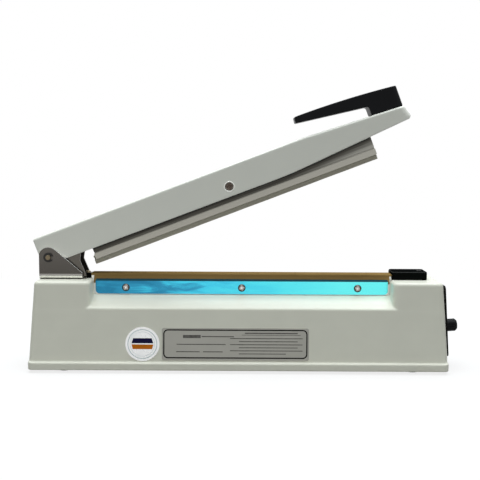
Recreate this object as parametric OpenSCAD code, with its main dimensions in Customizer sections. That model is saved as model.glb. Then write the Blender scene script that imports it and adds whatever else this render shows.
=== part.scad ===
// Hand impulse heat sealer, bench model with a 300 mm class sealing bar.
// Units are millimetres. The origin is the centre of the footprint on the bench,
// +X runs along the casing to the timer end, -Y is the front and +Z is up.
// The arm is drawn open against its stop.

/* [Casing] */
// Length of the casing just above its skirt
casing_l = 428.8; // [415:0.1:460]
// Depth of the casing just above its skirt
casing_w = 79.6; // [76:0.1:90]
// Height of the two tower tops above the bench
tower_z = 93.2; // [90:0.1:100]
// Draft of the outer walls in degrees
draft = 3.8; // [2:0.1:5]
// Thickness of the casing walls
wall = 2.5; // [2:0.1:3.5]
// Radius along the top edges of the towers
edge_r = 4; // [2:0.5:6]
// Height of the skirt round the bottom
skirt_h = 8.5; // [6:0.5:12]
// How far the skirt stands out from the long walls
skirt_lip = 2.8; // [1.5:0.1:5]
// How far the skirt stands out at the ends
skirt_end = 1; // [0.5:0.1:5]
// Corner radius of the skirt in plan
skirt_r = 5; // [3:0.5:10]
// Length of the left tower at the skirt
left_tower_l = 62.5; // [60:0.1:66]
// Length of the right tower at the skirt
right_tower_l = 56.3; // [54:0.1:59]
// Height of the shelf at its front edge
shelf_z = 66.3; // [60:0.1:72]
// Height of the ridge that carries the seal bar
ridge_z = 77.2; // [74:0.1:80]
// Width of the flat top of the ridge
ridge_w = 27.2; // [26:0.1:32]
// Plan radius of the tower corners at the recess
tower_corner_r = 5.8; // [3:0.1:8]
// Thickness of the tower walls that face the recess
tower_wall = 5; // [3:0.5:6]

/* [Base] */
// Height that the feet hold the skirt above the bench
foot_h = 3; // [2:0.5:8]
// Radius of each rubber foot
foot_r = 8; // [6:0.5:12]
// Distance of the feet from the ends of the casing
foot_in = 34.4; // [22:0.1:60]
// Distance of the feet from the middle along the depth
foot_y = 24; // [18:0.5:27]
// Thickness of the bottom plate
plate_t = 1.5; // [1:0.1:3]
// How far the bottom plate is set up inside the skirt
plate_recess = 0.5; // [0:0.1:2]
// Distance of the outer bottom plate screws from the ends of the casing
boss_in = 74.4; // [52:0.1:110]
// Height of the bosses that take the bottom plate screws
boss_h = 20; // [10:1:30]

/* [Seal bed] */
// Width of the lower part of the seal bar
seal_bar_w = 23.4; // [20:0.1:25]
// Width of the raised neck of the seal bar
seal_neck_w = 17; // [14:0.1:18]
// Height of the shoulder of the seal bar above the ridge
seal_shoulder = 14.3; // [12:0.1:16]
// Height of the seal bar above the ridge
seal_bar_h = 20.4; // [18:0.1:24]
// How far the seal bar reaches into each tower
seal_socket = 2.5; // [1:0.1:4]
// Thickness of the insulating strip under the element
insulator_t = 0.5; // [0.3:0.1:1]
// Width of the heating element
element_w = 5; // [2:0.5:8]
// Thickness of the heating element
element_t = 0.3; // [0.2:0.05:0.4]
// Thickness of the non-stick cloth
cloth_t = 0.3; // [0.2:0.05:0.5]
// Gap between the ends of the clamp strips and the towers
strip_gap = 2.4; // [1:0.1:8]
// Height of the clamp strips
strip_h = 13.2; // [10:0.1:14]
// Thickness of the clamp strips
strip_t = 1.2; // [0.8:0.1:2]
// Radius of the lower corners of the clamp strips
strip_r = 4; // [1:0.5:5]
// Radius of the upper corners of the clamp strips
strip_top_r = 1.5; // [0.5:0.1:3]
// Height of the inward lip along the top of the clamp strips
strip_lip = 2.4; // [1.5:0.1:3]
// How far the non-stick cloth reaches down behind the clamp strips
cloth_tuck = 2.2; // [1:0.1:8]
// Distance of the outer clamp strip screws from the ends of the strips
strip_screw_in = 31.6; // [12:0.1:50]

/* [Terminal cap] */
// Length of the cap over the right terminal
cap_l = 37; // [34:0.5:42]
// Depth of the cap
cap_w = 25; // [22:0.5:28]
// Height of the cap above the tower
cap_h = 8.9; // [8.5:0.1:12]
// Wall thickness of the cap
cap_wall = 1.8; // [1.2:0.1:2]
// Distance of the cap from the recess
cap_in = 1.9; // [1.5:0.1:5]
// Corner radius of the cap in plan
cap_r = 3; // [1:0.5:4]

/* [Hinge] */
// Distance of the hinge pin from the left end of the casing
pin_in = 17.1; // [15:0.1:20]
// Height of the hinge pin above the tower
pin_rise = 22.7; // [21:0.1:26]
// Diameter of the hinge pin
pin_d = 5; // [4:0.1:6]
// Outer width of the hinge bracket
bracket_w = 35; // [34:0.5:40]
// Thickness of the bracket sheet
bracket_t = 2; // [1.5:0.1:2.2]
// Outer radius of the bracket bends
bracket_bend = 4; // [3:0.5:5]
// Radius of the bracket ears round the pin
ear_r = 10.3; // [8:0.1:12]
// Length of the bracket behind the pin
bracket_back = 9.8; // [8:0.1:10]
// Length of the bracket ahead of the pin
bracket_front = 34.9; // [30:0.1:38]
// Radius of the retaining clips
clip_r = 5; // [4:0.1:6]
// Thickness of the retaining clips
clip_t = 1; // [0.6:0.1:1.4]

// Outer width of the yoke inside the arm
yoke_w = 25; // [23:0.1:25.2]
// Thickness of the yoke sheet
yoke_t = 1.8; // [1.2:0.1:2]
// Length of the yoke ahead of the pin
yoke_l = 42; // [40:0.5:43]

/* [Arm] */
// Angle of the open arm above the bench
arm_open = 20.85; // [12:0.05:24]
// Travel of the arm from open to closed in degrees
arm_swing = 18.64; // [10:0.01:20]
// Outer width of the arm
arm_w = 30; // [29:0.1:30.4]
// Wall thickness of the arm
arm_wall = 2.2; // [1.6:0.1:2.4]
// Radius along the top edges of the arm
arm_edge_r = 2.2; // [1:0.1:4]
// Length of the arm behind the pin
arm_back = 9.3; // [7:0.1:10]
// How far the arm falls short of the right end of the casing when it lies level
arm_short = 10.1; // [0:0.1:20]
// Height of the arm top above the pin line
arm_up = 23.2; // [22:0.1:26]
// Depth of the arm below the pin line
arm_down = 7.7; // [6:0.1:9]
// Length of the rising part of the underside
taper_low_l = 136.6; // [100:0.1:160]
// Length of the falling part of the top
taper_top_l = 115.6; // [80:0.1:130]
// Height of the underside of the arm at the tip
tip_low = 3; // [1:0.1:5]
// Height of the top of the arm at the tip
tip_top = 17.3; // [15:0.1:20]
// Plan radius of the tip corners
tip_r = 6; // [4:0.5:10]
// How far the end of the arm leans back at its top
tip_lean = 1.5; // [0:0.1:3]
// Size of the rounding under the tip
tip_chin = 3; // [1:0.1:5]

/* [Press bar] */
// Distance of the screw that the bar swings on from the middle of the seal bar
pivot_shift = 0.8; // [-5:0.1:5]
// Height of that screw above the pin line of the arm
pivot_b = 2.66; // [1:0.01:5]
// How much longer the press bar is than the recess
bar_over = 1; // [-10:0.5:3]
// Offset of the middle of the bar from its screw
bar_shift = -1.2; // [-4:0.1:4]
// Width of the web of the bar
web_w = 18; // [14:0.5:20]
// Height of the web above the screw
web_up = 6.3; // [5:0.1:8]
// Depth of the web below the screw
web_down = 14.7; // [13:0.1:16]
// Height of the dark groove between web and foot
groove_h = 1.3; // [1:0.1:2]
// Width of the foot of the bar
foot_w = 23; // [20:0.5:24]
// Height of the foot of the bar
foot_band = 6.2; // [5:0.1:8]
// Width of the silicone strip
silicone_w = 12; // [10:0.5:14]
// How far the silicone strip stands below the foot
silicone_out = 5.1; // [3:0.1:6]
// How far the silicone strip stands out of the left end of the bar
silicone_over = 3; // [0:0.5:5]
// Diameter of the screw that the bar swings on
pivot_d = 5; // [4:0.1:6]

/* [Handle] */
// Width of the handle
handle_w = 25; // [20:0.5:28]
// Length of the free finger lever
lever_l = 76.2; // [60:0.1:85]
// Length of the handle block on the arm
block_l = 34.2; // [30:0.1:50]
// Distance of the handle from the tip of the arm
handle_in = 3.8; // [1:0.1:10]
// Height of the lever top above the pin line at its tip
lever_top = 45.9; // [42:0.1:50]
// Height of the lever underside above the pin line at its tip
lever_low = 39.3; // [36:0.1:41]
// Height of the lever underside where it meets the block
lever_root = 29.1; // [26:0.1:32]
// Height of the handle top above the pin line at its end
handle_top = 39.5; // [38:0.1:44]

/* [Controls] */
// Width of the end panel
panel_w = 62; // [56:1:64]
// Distance from the skirt to the bottom of the end panel
panel_low = 4.6; // [3:0.1:10]
// Height of the end panel
panel_h = 73.6; // [70:0.1:75]
// Thickness of the end panel
panel_t = 2.8; // [2.6:0.1:3.6]
// Corner radius of the end panel
panel_r = 4; // [2:0.5:8]
// Height of the timer knob above the skirt
knob_z = 31.5; // [28:0.1:38]
// Diameter of the timer knob
knob_d = 14; // [12:0.1:18]
// Length of the timer knob
knob_l = 16; // [14:0.1:22]
// Height of the pilot lamp above the skirt
lamp_z = 58; // [54:0.5:64]
// Diameter of the pilot lamp
lamp_d = 8; // [5:0.5:10]

/* [Plates] */
// Length of the data plate
label_l = 150; // [120:1:160]
// Height of the data plate
label_h = 33; // [25:0.5:36]
// Middle of the data plate from the middle of the casing
label_x = -3.1; // [-10:0.1:10]
// Diameter of the round sticker
sticker_d = 34.8; // [28:0.1:38]
// Gap between the round sticker and the data plate
sticker_gap = 2.4; // [1:0.1:6]
// Thickness of the plate and sticker
label_t = 0.4; // [0.2:0.1:1]

/* [Hidden] */
$fn = 48;
// Clearance of a shank in its hole
hole_gap = 0.1;
// Running clearance of the hinge pin and of the pivot screw
run_gap = 0.08;
// Clearance between pieces that move past each other
body_gap = 0.3;
// Glue line under pieces that lie on the drafted walls
face_gap = 0.02;
// Shift that makes a round cutter cross a face that it would only touch
crossing = 0.05;
// Overshoot of cutters through the face they open
cut = 1;
// Reach of cutters that only need to be long
far = 600;

skirt_top = foot_h + skirt_h;
plate_z = foot_h + plate_recess;
plate_top = plate_z + plate_t;
bed_top = ridge_z + seal_bar_h;
recess_left = left_tower_l - casing_l / 2;
recess_right = casing_l / 2 - right_tower_l;
recess_l = recess_right - recess_left;
element_z = bed_top + insulator_t;
cloth_in = element_z + element_t;
cloth_top = cloth_in + cloth_t;
seal_left = recess_left - seal_socket;
seal_right = recess_right + seal_socket;
seal_l = seal_right - seal_left;
seal_mid = (seal_left + seal_right) / 2;
foot_x = casing_l / 2 - foot_in;
boss_x = casing_l / 2 - boss_in;
strip_l = recess_l - 2 * strip_gap;
cap_x = recess_right + cap_in;
pin_x = pin_in - casing_l / 2;
pin_z = tower_z + pin_rise;
arm_front = casing_l / 2 - arm_short - pin_x;
taper_low = arm_front - taper_low_l;
taper_top = arm_front - taper_top_l;
pivot_a = seal_mid + pivot_shift - pin_x;
bar_l = recess_l + bar_over;
bar_start = bar_shift - bar_l / 2;
handle_end = arm_front - handle_in;
block_start = handle_end - block_l;
lever_start = block_start - lever_l;
sticker_x = label_x - label_l / 2 - sticker_gap - sticker_d / 2;
foot_drop = web_down + groove_h + foot_band;
panel_mid = panel_low + panel_h / 2;
// Height of the bosses that the yoke is screwed up against, and where they are
yoke_drop = 2.2;
yoke_screws_a = [14, 34];
web_top = arm_up - arm_wall - yoke_drop;

// Blocks that the ends of the heating element are screwed to
left_block_l = 7.3;
left_block_w = 13;
left_block_x = seal_left - 0.3 - left_block_l;
right_block_w = 15;
right_block_l = 13;
right_block_x = seal_right + 1.5;

function half_l(z) = casing_l / 2 - (z - skirt_top) * tan(draft);
function half_w(z) = casing_w / 2 - (z - skirt_top) * tan(draft);

// ---------------------------------------------------------------- shared shapes

// Screw with its head seat at the origin and its shank down -Z
module screw(d, len, head_d, head_h) {
    difference() {
        union() {
            cylinder(d = head_d, h = head_h);
            translate([0, 0, -len]) cylinder(d = d, h = len);
        }
        for (turn = [0, 90]) rotate(turn)
            translate([-head_d * 0.3, -head_d * 0.08, head_h * 0.45])
                cube([head_d * 0.6, head_d * 0.16, head_h]);
    }
}

// Flat outline of width w and height h, standing on y = 0, with round corners
module round_rect(w, h, r) {
    translate([-w / 2 + r, 0]) square([w - 2 * r, h]);
    translate([-w / 2, r]) square([w, h - 2 * r]);
    for (x = [-w / 2 + r, w / 2 - r]) for (y = [r, h - r])
        translate([x, y]) circle(r = r);
}

// Outline with only its two bottom corners round
module round_foot(w, h, r) {
    translate([-w / 2 + r, 0]) square([w - 2 * r, h]);
    translate([-w / 2, r]) square([w, h - r]);
    for (x = [-w / 2 + r, w / 2 - r]) translate([x, r]) circle(r = r);
}

// Open channel outline: sheet of thickness t with its web on y = 0
module channel(w, h, t, r) {
    difference() {
        round_foot(w, h, r);
        translate([0, t]) round_foot(w - 2 * t, h, max(r - t, 0.2));
    }
}

// Outline of a drafted wall pair with round top edges
module drafted(half_base, z_base, z_top, r) {
    cz = z_top - r;
    cx = half_base - (cz - z_base) * tan(draft) - r / cos(draft);
    tx = cx + r * cos(draft);
    tz = cz + r * sin(draft);
    polygon([[-half_base, z_base], [half_base, z_base], [tx, tz], [cx, z_top],
             [-cx, z_top], [-tx, tz]]);
    for (s = [-1, 1]) translate([s * cx, cz]) circle(r = r);
}

// Extrudes an outline drawn in X and Z along Y, centred
module along_y(w) rotate([90, 0, 0]) linear_extrude(height = w, center = true) children();

// Extrudes an outline drawn in Y and Z along X, from x0 for a length l
module along_x(x0, l) translate([x0, 0, 0]) rotate([90, 0, 90]) linear_extrude(height = l) children();

// Frames on the outer walls: local z runs up the wall from the skirt
module on_end() translate([casing_l / 2, 0, skirt_top]) rotate([0, -draft, 0]) children();
module on_front() translate([0, -casing_w / 2, skirt_top]) rotate([-draft, 0, 0]) children();

// Frame of the open arm: x along the arm from the pin, z up from the pin line
module in_arm() translate([pin_x, 0, pin_z]) rotate([0, -arm_open, 0]) children();

// Frame of the press bar, with its screw at the origin
module in_bar() in_arm() translate([pivot_a, 0, pivot_b]) children();

// Coil of round wire along Y, with two straight legs at its ends
function coil_points(r, pitch, turns, steps, first, last) = concat(
    [first],
    [for (i = [0 : turns * steps])
        [r * cos(360 * i / steps), -pitch * turns / 2 + pitch * i / steps,
         r * sin(360 * i / steps)]],
    [last]);

function unit(v) = v / norm(v);

// Tube of wire through a list of points
module wire(points, d, sides) {
    n = len(points);
    rings = [for (i = [0 : n - 1])
        let (dir = unit(points[min(i + 1, n - 1)] - points[max(i - 1, 0)]),
             side = unit(cross(dir, abs(dir[1]) > 0.9 ? [1, 0, 0] : [0, 1, 0])),
             up = cross(side, dir))
        [for (k = [0 : sides - 1])
            points[i] + d / 2 * (side * cos(360 * k / sides) + up * sin(360 * k / sides))]];
    verts = [for (ring = rings) for (p = ring) p];
    skin = [for (i = [0 : n - 2]) for (k = [0 : sides - 1])
        let (a = i * sides + k, b = i * sides + (k + 1) % sides)
        each [[a, b, b + sides], [a, b + sides, a + sides]]];
    caps = [[for (k = [sides - 1 : -1 : 0]) k], [for (k = [0 : sides - 1]) (n - 1) * sides + k]];
    polyhedron(points = verts, faces = concat(skin, caps), convexity = 10);
}

// ---------------------------------------------------------------- casing

// Roof-shaped space above the shelves and the ridge
module above_shelves(x0, l, drop) {
    ridge_half = ridge_w / 2;
    slope = (ridge_z - shelf_z) / (half_w(shelf_z) - ridge_half);
    reach = casing_w;
    low = ridge_z - (reach - ridge_half) * slope - drop;
    along_x(x0, l) polygon([[-reach, low], [-ridge_half, ridge_z - drop], [ridge_half, ridge_z - drop],
                            [reach, low], [reach, tower_z * 2], [-reach, tower_z * 2]]);
}

// Rounds the tower corners where the recess opens to the front
module tower_corner_cuts() {
    for (s = [-1, 1]) {
        edge = s > 0 ? recess_right : recess_left;
        translate([edge, 0, 0]) mirror([s > 0 ? 0 : 1, 0, 0])
            linear_extrude(height = tower_z) difference() {
                translate([-cut, -cut]) square([tower_corner_r + cut, tower_corner_r + cut]);
                translate([tower_corner_r - crossing, tower_corner_r - crossing])
                    circle(r = tower_corner_r);
            }
    }
}

module recess() {
    above_shelves(recess_left, recess_right - recess_left, 0);
    intersection() {
        above_shelves(-casing_l / 2, casing_l, 0);
        for (s = [0, 1]) mirror([0, s, 0]) on_front() tower_corner_cuts();
    }
    // sockets for the ends of the seal bar
    translate([seal_left, -seal_bar_w / 2 - hole_gap, ridge_z])
        cube([seal_l, seal_bar_w + 2 * hole_gap, tower_z]);
}

module hollow() {
    difference() {
        intersection() {
            low = foot_h - cut;
            top = tower_z - wall;
            r = edge_r - wall / 2;
            along_y(far) drafted(half_l(low) - wall, low, top, r);
            along_x(-far / 2, far) drafted(half_w(low) - wall, low, top, r);
        }
        above_shelves(recess_left - tower_wall, recess_right - recess_left + 2 * tower_wall, wall);
    }
}

boss_r = 4;
screw_d = 3;
boss_y = half_w(plate_top) - wall - boss_r + 0.6;

module at_bosses() for (x = [-boss_x, 0, boss_x]) for (s = [-1, 1])
    translate([x, s * boss_y, 0]) children();

bracket_screw_d = 4;
bracket_screw_y = 4;
bracket_boss_r = 3.6;
bracket_screws_x = [pin_x - 3.5, pin_x + 24];

module at_bracket_screws() for (x = bracket_screws_x) for (s = [-1, 1])
    translate([x, s * bracket_screw_y, 0]) children();

// Slots in the tower top and bracket floor that the toes of the yoke pass through
toe_y = yoke_w / 2 - yoke_t / 2;
toe_slot_w = yoke_t + 2.2;
toe_front = 31.2;
heel_drop = pin_rise - bracket_t - 0.4;
toe_tip = [38.6, -heel_drop];
toe_slot_back = pin_x + 16;
toe_slot_front = recess_left - tower_wall - 1;

module toe_slots(z0, h, x1) for (s = [-1, 1])
    translate([toe_slot_back, s * toe_y - toe_slot_w / 2, z0])
        cube([x1 - toe_slot_back, toe_slot_w, h]);

// Opening in the end wall behind the panel
window_w = panel_w - 16;
window_h = panel_h - 18;

grommet_in = 60.4;
grommet_x = casing_l / 2 - grommet_in;
grommet_z = 18;
grommet_r = 6;

panel_screw_y = panel_w / 2 - 5;
panel_screw_in = 5;

module at_panel_screws() for (s = [-1, 1]) for (t = [-1, 1])
    translate([0, s * panel_screw_y, panel_mid + t * (panel_h / 2 - panel_screw_in)])
        rotate([0, 90, 0]) children();

cap_screw_x = cap_x + cap_l - 6.5;
cap_screw_d = 3;

module casing() color([0.92, 0.93, 0.91]) difference() {
    union() {
        difference() {
            union() {
                intersection() {
                    along_y(far) drafted(casing_l / 2, skirt_top, tower_z, edge_r);
                    along_x(-far / 2, far) drafted(casing_w / 2, skirt_top, tower_z, edge_r);
                }
                translate([0, -casing_w / 2 - skirt_lip, foot_h]) linear_extrude(height = skirt_h)
                    round_rect(casing_l + 2 * skirt_end, casing_w + 2 * skirt_lip, skirt_r);
            }
            recess();
            hollow();
        }
        at_bosses() translate([0, 0, plate_top]) cylinder(r = boss_r, h = boss_h);
        at_bracket_screws() translate([0, 0, tower_z - 12]) cylinder(r = bracket_boss_r, h = 11);
        translate([cap_screw_x, 0, tower_z - 10]) cylinder(r = boss_r, h = 9);
    }
    at_bosses() translate([0, 0, foot_h]) cylinder(d = screw_d + 2 * hole_gap, h = boss_h - 2);
    at_bracket_screws() translate([0, 0, tower_z - 9])
        cylinder(d = bracket_screw_d + 2 * hole_gap, h = 10);
    translate([cap_screw_x, 0, tower_z - 8]) cylinder(d = cap_screw_d + 2 * hole_gap, h = 9);
    toe_slots(tower_z - wall - cut, wall + 2 * cut, toe_slot_front);
    on_end() translate([-wall - cut, -window_w / 2, panel_mid - window_h / 2])
        cube([wall + 2 * cut, window_w, window_h]);
    on_end() at_panel_screws() translate([0, 0, -wall - cut])
        cylinder(d = screw_d + 2 * hole_gap, h = wall + 2 * cut);
    mirror([0, 1, 0]) on_front() translate([grommet_x, 0, grommet_z]) rotate([90, 0, 0])
        cylinder(r = grommet_r + hole_gap, h = 3 * wall, center = true);
    for (x = seal_screws_x) translate([x, 0, ridge_z - wall - cut])
        cylinder(d = screw_d + 2 * hole_gap, h = wall + 2 * cut);
    for (x = lead_holes_x) translate([x, 0, tower_z - wall - cut])
        cylinder(d = lead_d + 1, h = wall + 2 * cut);
    at_wall_screws() cylinder(d = 2 + 2 * hole_gap, h = 2 * (switch_plate_t + wall_screw_in + hole_gap),
                              center = true);
}

// ---------------------------------------------------------------- base

module bottom_plate() color([0.55, 0.56, 0.57]) difference() {
    l = 2 * (half_l(plate_top) - wall - body_gap);
    w = 2 * (half_w(plate_top) - wall - body_gap);
    translate([-l / 2, -w / 2, plate_z]) cube([l, w, plate_t]);
    translate([0, 0, plate_z - cut]) {
        at_bosses() cylinder(d = screw_d + 2 * hole_gap, h = plate_t + 2 * cut);
        at_feet() cylinder(d = screw_d + 2 * hole_gap, h = plate_t + 2 * cut);
        at_strap_screws() cylinder(d = screw_d + 2 * hole_gap, h = plate_t + 2 * cut);
        at_spacers() cylinder(d = board_screw_d + 2 * hole_gap, h = plate_t + 2 * cut);
    }
}

head_d = 5.4;
head_h = 1.6;

module bottom_screws() color("silver")
    at_bosses() translate([0, 0, plate_z]) mirror([0, 0, 1])
        screw(screw_d, plate_t + 10, head_d, head_h);

module at_feet() for (x = [-foot_x, foot_x]) for (y = [-foot_y, foot_y]) translate([x, y, 0]) children();

foot_seat = plate_z * 0.6;

module rubber_feet() color([0.08, 0.08, 0.08]) at_feet() difference() {
    cylinder(r = foot_r, h = plate_z);
    translate([0, 0, -cut]) cylinder(d = head_d + 1, h = foot_seat + cut);
    cylinder(d = screw_d + 2 * hole_gap, h = plate_z + cut);
}

module foot_screws() color("silver")
    at_feet() translate([0, 0, foot_seat]) mirror([0, 0, 1])
        screw(screw_d, plate_z - foot_seat + plate_t + 2, head_d, head_h);

// ---------------------------------------------------------------- controls

bush_d = 7;
bush_l = 4.5;

module end_panel() color([0.1, 0.1, 0.1]) on_end() difference() {
    through = panel_t + 2 * cut;
    along_x(face_gap, panel_t - face_gap) translate([0, panel_low]) round_rect(panel_w, panel_h, panel_r);
    at_panel_screws() {
        translate([0, 0, -cut]) cylinder(d = screw_d + 2 * hole_gap, h = through);
        translate([0, 0, panel_t - head_h]) cylinder(d = head_d + 0.6, h = head_h + cut);
    }
    translate([-cut, 0, knob_z]) rotate([0, 90, 0]) cylinder(d = bush_d + 2 * hole_gap, h = through);
    translate([-cut, 0, lamp_z]) rotate([0, 90, 0]) cylinder(d = lamp_d + 2 * hole_gap, h = through);
}

module panel_screws() color("silver") on_end() at_panel_screws() translate([0, 0, panel_t - head_h])
    screw(screw_d, panel_t - head_h + wall + 1, head_d, head_h);

pot_d = 16;
pot_l = 9;
shaft_d = 6;

// Frame of the timer: local z runs out of the end wall
module on_timer(x) on_end() translate([x, 0, knob_z]) rotate([0, 90, 0]) children();

module potentiometer() color([0.6, 0.6, 0.58]) on_timer(0) difference() {
    union() {
        translate([0, 0, -pot_l]) cylinder(d = pot_d, h = pot_l);
        cylinder(d = bush_d, h = panel_t + bush_l);
        for (s = [-1, 0, 1]) translate([pot_d / 2 - 1, s * 4 - 0.6, -pot_l + 3]) cube([5, 1.2, 0.6]);
    }
    translate([0, 0, panel_t + bush_l - 5]) cylinder(d = shaft_d + 2 * run_gap, h = 6);
}

module pot_nut() color("silver") on_timer(panel_t) difference() {
    cylinder(d = 10.4, h = 2.2, $fn = 6);
    translate([0, 0, -cut]) cylinder(d = bush_d + 2 * hole_gap, h = 5);
}

knob_gap = 0.5;
knob_ribs = 18;

// Knob with its stub shaft, turning in the bush of the potentiometer
module timer_knob() color([0.09, 0.09, 0.1]) on_timer(panel_t) {
    difference() {
        union() {
            translate([0, 0, knob_gap]) cylinder(d = knob_d, h = 3);
            translate([0, 0, knob_gap]) cylinder(d = knob_d - 0.8, h = knob_l - 2);
            translate([0, 0, knob_gap + knob_l - 2]) cylinder(d1 = knob_d - 0.8, d2 = knob_d - 4, h = 2);
        }
        translate([0, 0, -cut]) cylinder(d = 11.2, h = bush_l + body_gap + 1.3 + cut);
        for (k = [0 : knob_ribs - 1]) rotate(k * 360 / knob_ribs)
            translate([knob_d / 2 - 0.2, 0, knob_gap + 4]) cylinder(r = 0.5, h = knob_l, $fn = 16);
        translate([-knob_d, -0.5, knob_gap + knob_l - 0.6]) cube([knob_d - 1.5, 1, 2]);
    }
    translate([0, 0, bush_l - 4]) cylinder(d = shaft_d, h = knob_l - bush_l);
}

module pilot_lamp() color([0.75, 0.1, 0.08]) on_end() translate([0, 0, lamp_z]) rotate([0, 90, 0]) {
    translate([0, 0, -12]) cylinder(d = lamp_d, h = 12 + panel_t);
    translate([0, 0, -2]) cylinder(d = lamp_d + 3, h = 2);
}

// ---------------------------------------------------------------- timer board

board_x = casing_l / 2 - 94.4;
board_l = 62;
board_w = 46;
board_t = 1.6;
board_z = plate_top + 8;
board_screw_d = 2.6;
spacer_r = 2.6;
spacer_in = 4;

module at_spacers() for (x = [board_x + spacer_in, board_x + board_l - spacer_in])
    for (s = [-1, 1]) translate([x, s * (board_w / 2 - spacer_in), 0]) children();

module timer_board() color([0.1, 0.36, 0.2]) difference() {
    translate([board_x, -board_w / 2, board_z]) cube([board_l, board_w, board_t]);
    at_spacers() translate([0, 0, board_z - cut])
        cylinder(d = board_screw_d + 2 * hole_gap, h = board_t + 2 * cut);
}

module board_spacers() color([0.8, 0.8, 0.76]) at_spacers() translate([0, 0, plate_top]) difference() {
    cylinder(r = spacer_r, h = board_z - plate_top);
    translate([0, 0, -cut]) cylinder(d = board_screw_d + 2 * hole_gap, h = board_z);
}

module board_screws() color("silver")
    at_spacers() translate([0, 0, board_z + board_t])
        screw(board_screw_d, board_z + board_t - plate_z, 4.6, 1.4);

module board_parts() color([0.15, 0.25, 0.5]) translate([board_x, 0, board_z + board_t]) {
    translate([10, -9, 0]) cube([19, 15, 15]);
    for (y = [-10, 4]) translate([38, y, 0]) cylinder(r = 4, h = 12);
    translate([46, -16, 0]) cube([8, 30, 6]);
    translate([12, 11, 0]) cube([22, 4, 9]);
}

// ---------------------------------------------------------------- transformer

core_x = -62;
core_l = 66;
core_w = 32;
core_h = 55;
leg = 11;
core_window = core_l / 2 - 2 * leg;
core_z = plate_top;
coil_out = 9;
strap_t = 1.2;
strap_tab = 10;

module core_windows(gap) for (s = [-1, 1])
    translate([core_x + core_l / 2 + s * (leg + core_window / 2) - core_window / 2 + gap, -core_w,
            core_z + leg + gap])
        cube([core_window - 2 * gap, 2 * core_w, core_h - 2 * leg - 2 * gap]);

module transformer_core() color([0.45, 0.45, 0.46]) difference() {
    translate([core_x, -core_w / 2, core_z]) cube([core_l, core_w, core_h]);
    core_windows(0);
}

module transformer_coil() color([0.85, 0.65, 0.2]) difference() {
    translate([core_x + leg + hole_gap, -core_w / 2 - coil_out, core_z + leg + hole_gap])
        cube([core_l - 2 * leg - 2 * hole_gap, core_w + 2 * coil_out, core_h - 2 * leg - 2 * hole_gap]);
    translate([core_x + core_l / 2 - leg - hole_gap, -core_w / 2 - hole_gap, core_z])
        cube([2 * leg + 2 * hole_gap, core_w + 2 * hole_gap, core_h]);
}

strap_w = core_w * 0.6;

module at_strap_screws() for (s = [-1, 1])
    translate([core_x + core_l / 2 + s * (core_l / 2 + strap_t + strap_tab / 2), 0, 0]) children();

module transformer_strap() color([0.7, 0.7, 0.7]) difference() {
    union() {
        translate([core_x - strap_t, -strap_w / 2, core_z])
            cube([core_l + 2 * strap_t, strap_w, core_h + strap_t]);
        translate([core_x - strap_t - strap_tab, -strap_w / 2, core_z])
            cube([core_l + 2 * (strap_t + strap_tab), strap_w, strap_t]);
    }
    translate([core_x, -core_w, core_z - cut]) cube([core_l, 2 * core_w, core_h + cut]);
    at_strap_screws() translate([0, 0, core_z - cut])
        cylinder(d = screw_d + 2 * hole_gap, h = strap_t + 2 * cut);
}

module transformer_screws() color("silver") at_strap_screws() translate([0, 0, core_z + strap_t])
    screw(screw_d, strap_t + plate_t + 1, head_d, head_h);

// ---------------------------------------------------------------- leads

lead_d = 2.4;
lead_holes_x = [left_block_x + 2, right_block_x + 10];
lead_z = 58;

// One lead: up from the coil side, along the casing and up into a terminal
module lead(x0, x1, z1) {
    y = core_w / 2 + coil_out + lead_d / 2;
    bend = lead_d / 2;
    points = [[x0, y, core_z + leg + 4], [x0, y, lead_z], [x1, y, lead_z], [x1, 0, lead_z], [x1, 0, z1]];
    for (i = [0 : len(points) - 2]) {
        run = points[i + 1] - points[i];
        translate(points[i]) rotate([0, acos(run[2] / norm(run)), atan2(run[1], run[0])])
            cylinder(r = bend, h = norm(run));
    }
    for (i = [1 : len(points) - 2]) translate(points[i]) sphere(r = bend);
}

module element_leads() color([0.75, 0.12, 0.1]) {
    lead(core_x + 20, lead_holes_x[0], tower_z);
    lead(core_x + 46, lead_holes_x[1], tower_z);
}

module cord_grommet() color([0.07, 0.07, 0.07])
    mirror([0, 1, 0]) on_front() translate([grommet_x, 0, grommet_z]) rotate([90, 0, 0]) difference() {
        union() {
            translate([0, 0, -wall - 1.5]) cylinder(r = grommet_r, h = wall + 3);
            cylinder(r = grommet_r + 2, h = 2);
            translate([0, 0, -wall - 2]) cylinder(r = grommet_r + 1.5, h = 2);
        }
        cylinder(r = 3.6, h = 20, center = true);
    }

// ---------------------------------------------------------------- seal bed

seal_screw_in = 57.5;
seal_screws_x = [seal_left + seal_screw_in, seal_right - seal_screw_in];

// Outline of the seal bar: wide body, shoulders and a raised neck
module seal_outline(grow) {
    translate([-seal_bar_w / 2 - grow, ridge_z]) square([seal_bar_w + 2 * grow, seal_shoulder + grow]);
    translate([-seal_neck_w / 2 - grow, ridge_z]) square([seal_neck_w + 2 * grow, seal_bar_h + grow]);
}

strip_mid = seal_mid + 0.1;
strip_low = ridge_z + 0.5;
strip_screws_x = [for (k = [-1 : 1]) strip_mid + k * (strip_l / 2 - strip_screw_in)];
strip_screw_z = strip_low + strip_h / 2;

module strip_screw_holes(d, len) for (x = strip_screws_x) for (s = [-1, 1])
    translate([x, s * len, strip_screw_z]) rotate([s * 90, 0, 0]) cylinder(d = d, h = len);

module seal_bar() color([0.78, 0.79, 0.8]) difference() {
    along_x(seal_left + hole_gap, seal_l - 2 * hole_gap) seal_outline(0);
    strip_screw_holes(screw_d + 2 * hole_gap, seal_bar_w);
    for (x = seal_screws_x) translate([x, 0, ridge_z - cut])
        cylinder(d = screw_d + 2 * hole_gap, h = 10);
}

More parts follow.
